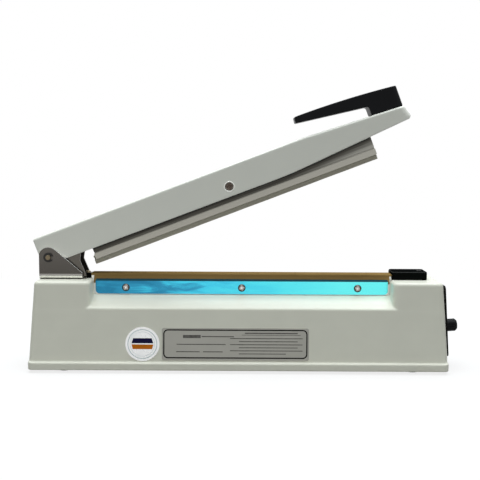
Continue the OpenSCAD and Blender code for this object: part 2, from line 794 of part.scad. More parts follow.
module seal_bar_screws() color("silver")
    for (x = seal_screws_x) translate([x, 0, ridge_z - wall]) mirror([0, 0, 1])
        screw(screw_d, wall + 7, head_d, head_h);

module insulating_strip() color([0.85, 0.82, 0.7])
    translate([seal_left, -seal_neck_w / 2, bed_top]) cube([seal_l, seal_neck_w, insulator_t]);

element_over = 7;

module heating_element() color([0.6, 0.58, 0.55]) difference() {
    translate([seal_left - element_over, -element_w / 2, element_z])
        cube([right_block_x + right_block_l - 1 - seal_left + element_over, element_w, element_t]);
    for (k = [0, 1]) terminal_hole(k);
}

cloth_low = strip_low + strip_h - cloth_tuck;

// Cloth over the neck of the seal bar; its sides run down over the shoulders
module cloth_outline(sides) {
    step = ridge_z + seal_shoulder + cloth_t;
    neck = seal_neck_w / 2 + cloth_t;
    side = sides ? seal_bar_w / 2 + cloth_t : neck;
    low = sides ? cloth_low : step;
    difference() {
        union() {
            translate([-neck, low]) square([2 * neck, cloth_top - low]);
            if (sides) translate([-side, low]) square([2 * side, step - low]);
        }
        translate([-neck + cloth_t, low - cut]) square([2 * neck - 2 * cloth_t, cloth_in - low + cut]);
        if (sides) translate([-side + cloth_t, low - cut])
            square([2 * side - 2 * cloth_t, step - cloth_t - low + cut]);
    }
}

module nonstick_cloth() color([0.55, 0.48, 0.33]) difference() {
    union() {
        along_x(seal_left, seal_l) cloth_outline(false);
        along_x(recess_left + body_gap, recess_right - recess_left - 2 * body_gap) cloth_outline(true);
    }
    strip_screw_holes(screw_d + 2 * hole_gap, seal_bar_w);
}

// Section of a clamp strip: flat face and a lip bent inward over the shoulder of the bar
module strip_section() {
    face = seal_bar_w / 2 + cloth_t;
    bend = strip_low + strip_h + 0.3;
    over = ridge_z + seal_shoulder + cloth_t + 0.1;
    polygon([[face, strip_low], [face + strip_t, strip_low], [face + strip_t, bend],
             [face + strip_t - 1.8, strip_low + strip_h + strip_lip], [face - 1.4, over + 0.6],
             [face, over]]);
}

module clamp_strip(s) mirror([0, s > 0 ? 0 : 1, 0]) difference() {
    intersection() {
        along_x(strip_mid - strip_l / 2, strip_l) strip_section();
        translate([strip_mid, seal_bar_w / 2, strip_low]) along_y(seal_bar_w / 2) intersection() {
            round_foot(strip_l, strip_h + strip_lip, strip_r);
            round_rect(strip_l, strip_h + strip_lip, strip_top_r);
        }
    }
    strip_screw_holes(screw_d + 2 * hole_gap, seal_bar_w);
}

module front_strip() color([0.2, 0.68, 0.82]) clamp_strip(-1);
module rear_strip() color([0.2, 0.68, 0.82]) clamp_strip(1);

module strip_screws() color("silver") {
    face = seal_bar_w / 2 + cloth_t + strip_t;
    for (x = strip_screws_x) for (s = [-1, 1]) translate([x, s * face, strip_screw_z])
        rotate([-s * 90, 0, 0]) screw(screw_d, 8, head_d, head_h);
}

// ---------------------------------------------------------------- terminals

terminal_screw_d = 2.6;
terminal_x = [left_block_x + 3, right_block_x + 7];
terminal_head = 1.4;

module terminal_hole(k) translate([terminal_x[k], 0, element_z - 6])
    cylinder(d = terminal_screw_d + 2 * hole_gap, h = 20);

module left_terminal() color([0.08, 0.08, 0.08]) difference() {
    translate([left_block_x, -left_block_w / 2, tower_z])
        cube([left_block_l, left_block_w, element_z - tower_z]);
    terminal_hole(0);
}

post_x = right_block_x + right_block_l + 6;

module right_terminal() color([0.15, 0.15, 0.16]) difference() {
    union() {
        translate([right_block_x, -right_block_w / 2, tower_z])
            cube([right_block_l, right_block_w, element_z - tower_z]);
        translate([right_block_x, -3, tower_z]) cube([post_x + 1.5 - right_block_x, 6, 1]);
        translate([post_x, -3, tower_z]) cube([1.5, 6, 5]);
    }
    terminal_hole(1);
}

module terminal_screws() color([0.75, 0.65, 0.4]) for (x = terminal_x)
    translate([x, 0, cloth_in]) screw(terminal_screw_d, 5, 4.6, terminal_head);

tension_r = 1.5;
tension_wire = 0.5;
tension_half = 2.7;
tension_turns = 6;

// Close coil that keeps the element taut
module tension_spring() color([0.6, 0.6, 0.6])
    translate([(right_block_x + right_block_l + post_x) / 2, 0, tower_z + 1 + tension_r + tension_wire])
        rotate(90)
        wire([for (i = [0 : 10 * tension_turns])
            [tension_r * cos(i * 36), tension_half * (i / (5 * tension_turns) - 1),
             tension_r * sin(i * 36)]], tension_wire, 6);

module cap_hollow() {
    inner_l = cap_l - 2 * cap_wall;
    inner_w = cap_w - 2 * cap_wall;
    translate([cap_x + cap_wall, -inner_w / 2, tower_z - cut])
        cube([inner_l, inner_w, cap_h - cap_wall + cut]);
    // mouth for the end of the seal bar and its cloth
    mouth = seal_neck_w + 2 * cloth_t + 2 * body_gap;
    translate([cap_x - cut, -mouth / 2, tower_z - cut])
        cube([cap_wall + 2 * cut, mouth, cloth_top + body_gap - tower_z + cut]);
}

module terminal_cap() color([0.06, 0.06, 0.07]) difference() {
    union() {
        difference() {
            translate([cap_x + cap_l / 2, -cap_w / 2, tower_z]) linear_extrude(height = cap_h)
                round_rect(cap_l, cap_w, cap_r);
            cap_hollow();
        }
        translate([cap_screw_x, 0, tower_z]) cylinder(r = 3.6, h = cap_h - 1);
    }
    translate([cap_screw_x, 0, tower_z - cut])
        cylinder(d = cap_screw_d + 2 * hole_gap, h = cap_h + 2 * cut);
    translate([cap_screw_x, 0, tower_z + cap_h - 2]) cylinder(d = head_d + 0.6, h = 2 + cut);
}

module cap_screw() color("silver")
    translate([cap_screw_x, 0, tower_z + cap_h - 2]) screw(cap_screw_d, cap_h - 2 + 7, head_d, head_h);

// ---------------------------------------------------------------- hinge

// Ear outline round the pin, running down its sloping front edge to the floor
module ear_outline() {
    tip = [bracket_front, -pin_rise + 6.5];
    reach = norm(tip);
    lean = atan2(tip[1], tip[0]) + acos(ear_r / reach);
    circle(r = ear_r);
    polygon([[-bracket_back, -pin_rise], [bracket_front, -pin_rise], tip,
             [ear_r * cos(lean), ear_r * sin(lean)], [-bracket_back, 0]]);
}

module hinge_bracket() color([0.32, 0.3, 0.28]) difference() {
    translate([pin_x, 0, pin_z]) intersection() {
        along_y(far) ear_outline();
        along_x(-bracket_back, bracket_front + bracket_back) translate([0, -pin_rise])
            channel(bracket_w, pin_rise + 2 * ear_r, bracket_t, bracket_bend);
    }
    translate([pin_x, 0, pin_z]) rotate([90, 0, 0])
        cylinder(d = pin_d + 2 * run_gap, h = far, center = true);
    at_bracket_screws() translate([0, 0, tower_z - cut])
        cylinder(d = bracket_screw_d + 2 * hole_gap, h = bracket_t + 2 * cut);
    toe_slots(tower_z - cut, bracket_t + 2 * cut, pin_x + bracket_front + cut);
}

module bracket_screws() color("silver") at_bracket_screws() translate([0, 0, tower_z + bracket_t])
    screw(bracket_screw_d, bracket_t + 8, 6.6, head_h);

pin_l = bracket_w + 6;
groove_r = pin_d / 2 - 0.5;
clip_y = bracket_w / 2 + 0.2;

module hinge_pin() color([0.55, 0.53, 0.45]) translate([pin_x, 0, pin_z]) difference() {
    rotate([90, 0, 0]) cylinder(d = pin_d, h = pin_l, center = true);
    for (s = [-1, 1]) translate([0, s * (clip_y + clip_t / 2), 0]) rotate([90, 0, 0]) difference() {
        cylinder(d = pin_d + 2, h = clip_t + 0.1, center = true);
        cylinder(r = groove_r, h = 2 * clip_t, center = true);
    }
}

module retaining_clips() color([0.06, 0.06, 0.06]) for (s = [-1, 1])
    translate([pin_x, s * (clip_y + clip_t / 2), pin_z]) rotate([90, 0, 0]) difference() {
        cylinder(r = clip_r, h = clip_t, center = true);
        cylinder(r = groove_r, h = 2 * clip_t, center = true);
        rotate(-10) translate([0, -groove_r * 0.9, -clip_t])
            cube([clip_r + cut, groove_r * 1.8, 2 * clip_t]);
    }

spring_wire = 1.6;
spring_r = 4.3;
spring_turns = 8;
arm_leg_a = 20;

// Torsion spring round the pin: one leg under the yoke, one on the bracket floor
module lift_spring() color([0.5, 0.5, 0.5]) translate([pin_x, 0, pin_z]) {
    pitch = spring_wire + 0.2;
    half = pitch * spring_turns / 2;
    lift = spring_wire / 2 + body_gap;
    web_z = web_top - yoke_t - lift;
    arm_leg = [arm_leg_a * cos(arm_open) - web_z * sin(arm_open), half,
               arm_leg_a * sin(arm_open) + web_z * cos(arm_open)];
    floor_leg = [18, -half, -pin_rise + bracket_t + lift];
    wire(coil_points(spring_r, pitch, spring_turns, 16, floor_leg, arm_leg), spring_wire, 8);
}

// ---------------------------------------------------------------- switch

switch_l = 20;
switch_w = 6.4;
switch_h = 10;
switch_travel = 1.5;
plunger_r = 1.1;
plunger_up = 1.4;
// Place of the tip of the toe with the arm closed, which is where the plunger ends
toe_turn = atan2(toe_tip[1], toe_tip[0]) - arm_swing;
toe_closed = norm(toe_tip) * [cos(toe_turn), sin(toe_turn)];
switch_x = pin_x + toe_closed[0];
switch_y = -toe_y;
plunger_top = pin_z + toe_closed[1] - body_gap + switch_travel;
switch_top = plunger_top - switch_travel - plunger_up;
switch_plate_t = 1.2;
switch_plate_y = switch_y + switch_w / 2;
switch_wall_x = recess_left - tower_wall;

module switch_body() color([0.12, 0.12, 0.13]) difference() {
    translate([switch_x - switch_l / 2, switch_y - switch_w / 2, switch_top - switch_h])
        cube([switch_l, switch_w, switch_h]);
    translate([switch_x, switch_y, switch_top - 5]) cylinder(r = plunger_r + run_gap, h = 6);
    at_switch_screws() cylinder(d = 2 + 2 * hole_gap, h = far, center = true);
}

module switch_plunger() color([0.7, 0.15, 0.1])
    translate([switch_x, switch_y, switch_top - 2.5])
        cylinder(r = plunger_r, h = plunger_top - switch_top + 2.5);

module at_switch_screws() for (s = [-1, 1])
    translate([switch_x + s * 5, switch_y, switch_top - switch_h + 3]) rotate([90, 0, 0]) children();

wall_screw_in = 2;

module at_wall_screws() for (y = [-5, 5])
    translate([switch_wall_x - switch_plate_t, y, switch_top - switch_h + 4])
        rotate([0, -90, 0]) children();

// Angle plate: one leg carries the switch, the other is screwed to the tower wall
module switch_bracket() color([0.7, 0.7, 0.68]) difference() {
    low = switch_top - switch_h;
    union() {
        translate([switch_x - switch_l / 2, switch_plate_y, low])
            cube([switch_wall_x - switch_x + switch_l / 2, switch_plate_t, switch_h - 2]);
        translate([switch_wall_x - switch_plate_t, switch_plate_y, low])
            cube([switch_plate_t, 7.5 - switch_plate_y, switch_h - 2]);
    }
    at_switch_screws() cylinder(d = 2 + 2 * hole_gap, h = far, center = true);
    at_wall_screws() cylinder(d = 2 + 2 * hole_gap, h = 2 * (switch_plate_t + wall_screw_in + hole_gap),
                              center = true);
}

module switch_screws() color("silver") {
    at_switch_screws() translate([0, 0, switch_w / 2]) screw(2, switch_w + 2.5, 3.8, 1.2);
    at_wall_screws() screw(2, switch_plate_t + wall_screw_in, 3.8, 1.2);
}

// ---------------------------------------------------------------- plates

module data_plate() color([0.74, 0.75, 0.74]) on_front() translate([label_x, -label_t / 2 - face_gap, 2])
    along_y(label_t) round_rect(label_l, label_h, 2);

module round_sticker() color([0.96, 0.96, 0.96]) on_front()
    translate([sticker_x, -label_t / 2 - face_gap, sticker_d / 2 + 1])
        along_y(label_t) circle(d = sticker_d, $fn = 96);

// ---------------------------------------------------------------- arm

function arm_top(a) = a < taper_top ? arm_up
    : arm_up - (a - taper_top) * (arm_up - tip_top) / (arm_front - taper_top);

// Side outline of the arm, drawn in by t on every side but the open underside
module arm_outline(t) polygon([
    [-arm_back + t, -arm_down - (t > 0 ? 20 : 0)],
    [taper_low, -arm_down - (t > 0 ? 20 : 0)],
    [arm_front - tip_chin - t, tip_low - 0.07 * tip_chin - (t > 0 ? 20 : 0)],
    [arm_front - 0.3 * tip_chin - t, tip_low + 0.25 * tip_chin - (t > 0 ? 20 : 0)],
    [arm_front - t, tip_low + 0.9 * tip_chin - (t > 0 ? 20 : 0)],
    [arm_front - tip_lean - t, tip_top - t],
    [taper_top, arm_up - t],
    [-arm_back + t, arm_up - t]]);

// Plan outline of the arm with its two round tip corners
module arm_plan(t) {
    w = arm_w - 2 * t;
    r = tip_r - t;
    translate([-arm_back - cut + t, -w / 2]) square([arm_front + arm_back + cut - 2 * t - r, w]);
    translate([0, -w / 2 + r]) square([arm_front - t, w - 2 * r]);
    for (s = [-1, 1]) translate([arm_front - t - r, s * (w / 2 - r)]) circle(r = r);
}

pivot_boss_r = 7;
pivot_seat = 2.4;
head_ring_r = 4.45;

module arm_shell() color([0.9, 0.9, 0.89]) in_arm() difference() {
    union() {
        difference() {
            intersection() {
                along_y(far) arm_outline(0);
                translate([0, 0, -far / 2]) linear_extrude(height = far) arm_plan(0);
                along_x(-far, 2 * far) translate([0, arm_up]) mirror([0, 1])
                    round_foot(arm_w, far, arm_edge_r);
            }
            intersection() {
                along_y(far) arm_outline(arm_wall);
                translate([0, 0, -far / 2]) linear_extrude(height = far) arm_plan(arm_wall);
            }
        }
        // bosses that the pivot screw runs through
        for (s = [-1, 1]) translate([pivot_a, s * (arm_w / 2 - 0.5), pivot_b]) rotate([s * 90, 0, 0])
            cylinder(r = pivot_boss_r, h = (arm_w - web_w) / 2 - 0.5 - body_gap);
        for (a = yoke_screws_a) translate([a, 0, web_top]) cylinder(r = 4, h = yoke_drop + 0.5);
    }
    rotate([90, 0, 0]) cylinder(d = pin_d + 1, h = far, center = true);
    translate([pivot_a, 0, pivot_b]) rotate([90, 0, 0]) {
        cylinder(d = pivot_d + 2 * hole_gap, h = far, center = true);
        for (s = [-1, 1]) translate([0, 0, s * arm_w / 2])
            cylinder(r = head_ring_r, h = 2 * pivot_seat, center = true);
    }
    for (a = yoke_screws_a) translate([a, 0, 0]) cylinder(d = screw_d + 2 * hole_gap, h = arm_up - 1);
    at_handle_screws() cylinder(d = handle_screw_d + 2 * hole_gap, h = arm_up + cut);
}

// Turns a point given level from the pin into the frame of the open arm
function to_arm(p) = [p[0] * cos(arm_open) + p[1] * sin(arm_open),
                      -p[0] * sin(arm_open) + p[1] * cos(arm_open)];

// Side outline of the yoke in the frame of the arm: cheeks round the pin, a heel that
// meets the bracket floor when the arm is open, and a toe that works the switch
module yoke_outline() {
    inside = -arm_back + arm_wall + body_gap;
    polygon([[inside, web_top], [yoke_l, web_top], [yoke_l, web_top - 8], [toe_front, -arm_down - 1.5],
             [toe_front - 3, -arm_down - 7], to_arm(toe_tip), to_arm([toe_tip[0] - 12, -heel_drop]),
             to_arm([20, -12]), to_arm([9, -13]), to_arm([1.5, -heel_drop]), to_arm([-4, -heel_drop]),
             [inside, -arm_down - 1.5]]);
}

module hinge_yoke() color([0.3, 0.29, 0.28]) in_arm() difference() {
    intersection() {
        along_y(far) yoke_outline();
        along_x(-far, 2 * far) translate([0, web_top]) mirror([0, 1]) channel(yoke_w, far, yoke_t, 3);
    }
    rotate([90, 0, 0]) cylinder(d = pin_d + 2 * run_gap, h = far, center = true);
    for (a = yoke_screws_a) translate([a, 0, web_top - yoke_t - cut])
        cylinder(d = screw_d + 2 * hole_gap, h = yoke_t + 2 * cut);
}

module yoke_screws() color("silver") in_arm() for (a = yoke_screws_a)
    translate([a, 0, web_top - yoke_t]) mirror([0, 0, 1])
        screw(screw_d, yoke_t + yoke_drop + 1, head_d, head_h);

// ---------------------------------------------------------------- handle

handle_screw_d = 4;
handle_screws_a = [block_start + 9, handle_end - 9];
handle_screw_in = 12;

module at_handle_screws() for (a = handle_screws_a) translate([a, 0, 0]) children();

lever_slope = (lever_low - lever_root) / lever_l;
handle_steps = 10;

// Side outline of the handle: slim lever with a blunt tip, block on the arm, curved top
module handle_outline() {
    curve = [for (i = [handle_steps : -1 : 1])
        [lever_start + (handle_end - lever_start) * i / handle_steps,
         lever_top - (lever_top - handle_top) * pow(i / handle_steps, 2)]];
    polygon(concat([
        [lever_start + 0.8, lever_low - 0.8 * lever_slope],
        [block_start - 4, lever_root + 4 * lever_slope],
        [block_start - 1, lever_root - 1], [block_start, lever_root - 4],
        [block_start, arm_top(block_start)], [handle_end, arm_top(handle_end)]], curve,
        [[lever_start + 2, lever_top - 0.1], [lever_start + 0.9, lever_top - 0.9],
         [lever_start, lever_low + 0.7]]));
}

module handle() color([0.1, 0.1, 0.11]) in_arm() difference() {
    intersection() {
        along_y(far) handle_outline();
        translate([(lever_start + handle_end) / 2, -handle_w / 2, 0])
            linear_extrude(height = far) round_rect(handle_end - lever_start, handle_w, 6);
    }
    at_handle_screws() cylinder(d = handle_screw_d + 2 * hole_gap, h = arm_up + handle_screw_in - 3);
}

module handle_screws() color("silver") in_arm() at_handle_screws()
    translate([0, 0, arm_top(handle_end) - arm_wall - 0.8]) mirror([0, 0, 1])
        screw(handle_screw_d, handle_screw_in, 7, 2);

// ---------------------------------------------------------------- press bar

module pivot_screw() color([0.35, 0.35, 0.35]) in_bar() translate([0, -arm_w / 2 + pivot_seat, 0])
    rotate([90, 0, 0]) screw(pivot_d, arm_w - pivot_seat - 0.6, 7.6, 2);

module pivot_nut() color([0.4, 0.4, 0.4]) in_bar() translate([0, arm_w / 2 - pivot_seat, 0])
    rotate([-90, 0, 0]) difference() {
        cylinder(d = 8.6, h = 2, $fn = 6);
        translate([0, 0, -cut]) cylinder(d = pivot_d + 2 * hole_gap, h = 4);
    }

rail_wall = 2;

// Outline of the bar: hollow web, groove, wide foot with a slot for the silicone
module bar_outline() difference() {
    union() {
        translate([-web_w / 2, -web_down]) square([web_w, web_down + web_up]);
        translate([-web_w / 2 + 1.5, -web_down - groove_h]) square([web_w - 3, groove_h]);
        translate([-foot_w / 2, -foot_drop]) square([foot_w, foot_band]);
    }
    translate([-web_w / 2 + rail_wall, -web_down + rail_wall])
        square([web_w - 2 * rail_wall, web_down + web_up - 2 * rail_wall]);
    silicone_root(hole_gap);
}

root_neck = 7;
root_head = 11;
root_h = 4;
root_lip = 1.8;

module silicone_root(gap) {
    translate([-root_neck / 2 - gap, -foot_drop - gap]) square([root_neck + 2 * gap, root_h]);
    translate([-root_head / 2 - gap, -foot_drop + root_lip - gap])
        square([root_head + 2 * gap, root_h - root_lip + 2 * gap]);
}

module press_bar() color([0.6, 0.61, 0.6]) in_bar() difference() {
    along_x(bar_start, bar_l) bar_outline();
    rotate([90, 0, 0]) cylinder(d = pivot_d + 2 * run_gap, h = far, center = true);
}

module silicone_strip() color([0.45, 0.45, 0.43])
    in_bar() along_x(bar_start - silicone_over, bar_l + silicone_over) {
        translate([-silicone_w / 2, -foot_drop - silicone_out]) square([silicone_w, silicone_out]);
        silicone_root(0);
    }

// ---------------------------------------------------------------- assembly

casing();
bottom_plate();
bottom_screws();
rubber_feet();
foot_screws();
end_panel();
panel_screws();
potentiometer();
pot_nut();
timer_knob();
pilot_lamp();
timer_board();
board_parts();
board_spacers();
board_screws();
transformer_core();
transformer_coil();
transformer_strap();
transformer_screws();
element_leads();
cord_grommet();
seal_bar();
seal_bar_screws();
insulating_strip();
heating_element();
nonstick_cloth();
front_strip();
rear_strip();
strip_screws();
left_terminal();
right_terminal();
terminal_screws();
tension_spring();
terminal_cap();
cap_screw();
hinge_bracket();
bracket_screws();
hinge_pin();
retaining_clips();
lift_spring();
switch_body();
switch_plunger();
switch_bracket();
switch_screws();
data_plate();
round_sticker();
arm_shell();
hinge_yoke();
yoke_screws();
handle();
handle_screws();
pivot_screw();
pivot_nut();
press_bar();
silicone_strip();
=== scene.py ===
import math

import bmesh
import bpy
import numpy as np
from mathutils import Matrix, Vector


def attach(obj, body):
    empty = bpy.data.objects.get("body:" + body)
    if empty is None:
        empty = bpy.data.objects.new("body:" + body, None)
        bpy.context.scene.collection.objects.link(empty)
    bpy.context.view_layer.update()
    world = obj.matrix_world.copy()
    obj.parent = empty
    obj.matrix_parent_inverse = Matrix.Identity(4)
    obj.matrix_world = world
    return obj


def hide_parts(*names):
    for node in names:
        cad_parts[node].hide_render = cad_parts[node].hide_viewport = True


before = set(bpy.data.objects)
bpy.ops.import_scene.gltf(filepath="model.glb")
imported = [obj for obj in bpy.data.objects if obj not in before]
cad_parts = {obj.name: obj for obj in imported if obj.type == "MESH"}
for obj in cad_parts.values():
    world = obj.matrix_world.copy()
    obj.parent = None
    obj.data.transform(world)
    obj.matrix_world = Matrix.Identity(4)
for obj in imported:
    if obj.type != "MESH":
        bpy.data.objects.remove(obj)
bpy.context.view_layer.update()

# ---------------------------------------------------------------- studio
# A pale floor that runs out into white, one large softbox overhead, two small lamps
# in front and a dim surround. The camera looks from a little above the casing.

MM = 0.001
CAMERA_AT = (1.1, -882.5, 217.3)
CAMERA_PITCH = 5.436
CAMERA_ROLL = 0.3
CAMERA_LENS = 63.05
SURROUND = 0.075
FLOOR_HALF = 4.0
FLOOR_BOUNCE, FLOOR_SEEN, FLOOR_WHITE = 0.43, 0.93, 0.78


def linear(code):
    """An sRGB hex value as linear red, green and blue, with alpha."""
    parts = [int(code[i:i + 2], 16) / 255 for i in (1, 3, 5)]
    return tuple(c / 12.92 if c <= 0.04045 else ((c + 0.055) / 1.055) ** 2.4
                 for c in parts) + (1.0,)


def add(tree, kind, inputs=None, stops=None, **settings):
    """Adds a node; an input is a value or another node's output, stops fill a ramp."""
    made = tree.nodes.new("ShaderNode" + kind)
    for name, value in settings.items():
        setattr(made, name, value)
    for key, value in (inputs or {}).items():
        if isinstance(value, bpy.types.NodeSocket):
            tree.links.new(value, made.inputs[key])
        else:
            made.inputs[key].default_value = value
    if stops:
        ramp = made.color_ramp
        while len(ramp.elements) < len(stops):
            ramp.elements.new(0.5)
        for element, (at, colour) in zip(ramp.elements, stops):
            element.position = at
            element.color = colour
    return made


camera_data = bpy.data.cameras.new("bench_camera")
camera_data.lens = CAMERA_LENS
camera_data.sensor_width = 36
camera_data.clip_end = 50
camera = bpy.data.objects.new("bench_camera", camera_data)
camera.matrix_world = (Matrix.Translation(Vector(CAMERA_AT) * MM)
                       @ Matrix.Rotation(math.radians(90 - CAMERA_PITCH), 4, "X")
                       @ Matrix.Rotation(math.radians(CAMERA_ROLL), 4, "Z"))
bpy.context.scene.collection.objects.link(camera)
bpy.context.scene.camera = camera
bpy.context.scene.view_settings.view_transform = "Standard"

world = bpy.data.worlds.new("studio_surround")
bpy.context.scene.world = world
world.use_nodes = True
tree = world.node_tree
seen = add(tree, "LightPath")
glossy = add(tree, "Math", {0: seen.outputs["Is Camera Ray"], 1: seen.outputs["Is Glossy Ray"]},
             operation="MAXIMUM")
direct = add(tree, "Math", {0: glossy.outputs[0], 1: seen.outputs["Is Transmission Ray"]},
             operation="MAXIMUM")
level = add(tree, "MapRange", {"Value": direct.outputs[0], "To Min": SURROUND, "To Max": 1.0})
tree.links.new(level.outputs[0], tree.nodes["Background"].inputs["Strength"])
tint = add(tree, "Mix", {"Factor": direct.outputs[0], "A": linear("#fffdf2"),
                         "B": linear("#ffffff")}, data_type="RGBA")
tree.links.new(tint.outputs["Result"], tree.nodes["Background"].inputs["Color"])


def softbox(name, at, aim, size, power, tint):
    """Square lamp of a size in metres, turned to a point."""
    lamp = bpy.data.lights.new(name, "AREA")
    lamp.size = size
    lamp.energy = power
    lamp.color = linear(tint)[:3]
    piece = bpy.data.objects.new(name, lamp)
    piece.location = at
    piece.rotation_euler = (Vector(aim) - Vector(at)).to_track_quat("-Z", "Y").to_euler()
    bpy.context.scene.collection.objects.link(piece)


softbox("softbox_top", (0.0, 0.05, 1.8), (0, 0, 0.1), 1.9, 54, "#f5fbff")
softbox("softbox_front", (-0.7, -1.5, 0.4), (0, 0, 0.1), 0.9, 1.4, "#fffaf0")
softbox("softbox_right", (1.0, -1.2, 0.62), (0.1, 0, 0.15), 0.28, 0.6, "#ffffff")

floor_mesh = bpy.data.meshes.new("studio_floor")
floor_mesh.from_pydata([(i * FLOOR_HALF, j * FLOOR_HALF, 0)
                        for i, j in ((-1, -1), (1, -1), (1, 1), (-1, 1))], [], [(0, 1, 2, 3)])
floor = bpy.data.objects.new("studio_floor", floor_mesh)
bpy.context.scene.collection.objects.link(floor)

# Matt pale board that fades to pure white away from the object and keeps its shadow.
pale = bpy.data.materials.new("pale_studio_floor")
pale.use_nodes = True
tree = pale.node_tree
tree.nodes.clear()
seen = add(tree, "LightPath")
spot = add(tree, "TexCoord")
reach = add(tree, "VectorMath", {0: spot.outputs["Object"]}, operation="LENGTH")
away = add(tree, "MapRange", {"Value": reach.outputs["Value"], "From Min": 0.35,
                              "From Max": 0.8}, interpolation_type="SMOOTHSTEP")
tone = add(tree, "MapRange", {"Value": seen.outputs["Is Camera Ray"], "To Min": FLOOR_BOUNCE,
                              "To Max": FLOOR_SEEN})
matt = add(tree, "BsdfDiffuse", {"Color": tone.outputs[0]})
shown = add(tree, "Math", {0: seen.outputs["Is Camera Ray"], 1: seen.outputs["Is Glossy Ray"]},
            operation="MAXIMUM")
white = add(tree, "Emission", {"Color": linear("#ffffff"), "Strength": shown.outputs[0]})
thin = add(tree, "Math", {0: shown.outputs[0], 1: FLOOR_WHITE}, operation="MULTIPLY")
share = add(tree, "Math", {0: thin.outputs[0], 1: away.outputs[0]}, operation="MAXIMUM")
blend = add(tree, "MixShader", {0: share.outputs[0], 1: matt.outputs[0], 2: white.outputs[0]})
add(tree, "OutputMaterial", {"Surface": blend.outputs[0]})
floor_mesh.materials.append(pale)

# ---------------------------------------------------------------- casing
# One thin-walled die casting: a drafted box with a skirt, cut down between two
# towers to sloping shelves and a ridge. It is sprayed in a warm white enamel.

CASING_L, CASING_W, TOWER_Z = 428.8, 79.6, 93.2
DRAFT = math.radians(3.8)
WALL, TOWER_WALL = 2.5, 5.0
SKIRT_TOP, SKIRT_LIP, SKIRT_END, FOOT_H = 11.5, 2.8, 0.9, 3.0
LEDGE_TILT = math.radians(19)
RECESS = (-151.9, 158.1)
SEAL = (-154.4, 160.6)
SHELF_Z, RIDGE_Z, RIDGE_W = 66.3, 77.2, 27.2
PIN = (-197.3, 0.0, 115.9)
CORNER_R, SHELF_EDGE_R, TOWER_CORNER_R, TOWER_EDGE_R, TOWER_FOOT_R = 4.0, 1.3, 5.8, 3.4, 1.6
SKIRT_CORNER_R, SKIRT_EDGE_R, SKIRT_FOOT_R = 5.0, 0.5, 0.8
# Openings: the slot for the seal bar, the slots for the yoke's toes, the window behind the
# end panel, the holes for the element's leads and the hole for the grommet in the back.
SLOT_HALF_W = 11.8
TOE_X, TOE_Y, TOE_HALF_W = (PIN[0] + 16, -157.9), 11.6, 2.0
WINDOW_X, WINDOW_HALF_W, WINDOW_MID, WINDOW_HALF_H = 200.0, 23.0, 41.4, 27.8
LEADS_X, LEAD_R = (-160.0, 172.1), 1.7
GROMMET_X, GROMMET_UP, GROMMET_R = 154.0, 18.0, 6.1
ABOVE_ROOF = 85.0


def meet(a, b, r):
    """Distance to what two shapes share, with a round edge of radius r."""
    return np.minimum(-r, np.maximum(a, b)) + np.hypot(np.maximum(r + a, 0), np.maximum(r + b, 0))


def join(a, b, r):
    """Distance to two shapes together, with a fillet of radius r between them."""
    return -meet(-a, -b, r)


def ease(a, b, k):
    """Distance to what two nearly level planes share, with the bend eased over k."""
    h = np.maximum(k - np.abs(a - b), 0) / k
    return np.maximum(a, b) + h * h * k / 4


def graded(low, high, step, *zones):
    """Grid lines from low to high, closer together inside zones (from, to, step)."""
    at, lines = low, [low]
    while at < high - 1e-6:
        here = [z[2] for z in zones if z[0] - 1e-6 <= at < z[1] - 1e-6]
        stops = [v for z in zones for v in z[:2] if v > at + 1e-6]
        at = min([at + min(here or [step]), high] + stops)
        lines.append(at)
    return np.array(lines)


def new_piece(name, mesh, body, nodes, material, frame_at=None):
    """Puts a mesh in the scene on its body, in place of its CAD nodes."""
    piece = bpy.data.objects.new(name, mesh)
    bpy.context.scene.collection.objects.link(piece)
    if frame_at is not None:
        piece.matrix_world = frame_at
    mesh.materials.append(material)
    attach(piece, body)
    if nodes:
        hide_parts(*nodes)
    return piece


def moulded(name, xs, ys, zs, distance):
    """Smooth closed mesh of the shape whose signed distance (mm) is given on a grid."""
    grid = np.meshgrid(xs, ys, zs, indexing="ij")
    d = distance(*grid)
    shape = tuple(n - 1 for n in d.shape)
    total, count, crossed = np.zeros(shape + (3,)), np.zeros(shape), []
    for axis in range(3):
        low, high = [slice(None)] * 3, [slice(None)] * 3
        low[axis], high[axis] = slice(0, -1), slice(1, None)
        low, high = tuple(low), tuple(high)
        cross = (d[low] < 0) != (d[high] < 0)
        share = np.where(cross, d[low] / np.where(cross, d[low] - d[high], 1), 0)
        point = np.stack([g[low] for g in grid], -1)
        point[..., axis] += share * (grid[axis][high] - grid[axis][low])
        crossed.append((cross, d[low] < 0))
        u, v = [a for a in range(3) if a != axis]
        for i in (0, 1):
            for j in (0, 1):
                take = [slice(None)] * 3
                take[u], take[v] = slice(i, shape[u] + i), slice(j, shape[v] + j)
                hit = cross[tuple(take)]
                total += point[tuple(take)] * hit[..., None]
                count += hit
    index = np.full(shape, -1)
    index[count > 0] = np.arange(int((count > 0).sum()))
    verts = total[count > 0] / count[count > 0][:, None] * MM
    faces = []
    for axis, (cross, inside) in enumerate(crossed):
        u, v = [a for a in range(3) if a != axis]
        inner = [slice(None)] * 3
        inner[u], inner[v] = slice(1, -1), slice(1, -1)
        hit, inside = cross[tuple(inner)], inside[tuple(inner)]
        cells = np.argwhere(hit)
        quad = []
        for i, j in ((0, 0), (1, 0), (1, 1), (0, 1)):
            corner = cells.copy()
            corner[:, u] += i
            corner[:, v] += j
            quad.append(index[tuple(corner.T)])
        quad = np.stack(quad, 1)
        turn = inside[hit] == (axis == 1)
        quad[turn] = quad[turn][:, ::-1]
        faces.append(quad)
    mesh = bpy.data.meshes.new(name)
    mesh.from_pydata(verts.tolist(), [], np.concatenate(faces).tolist())
    mesh.shade_smooth()
    return mesh


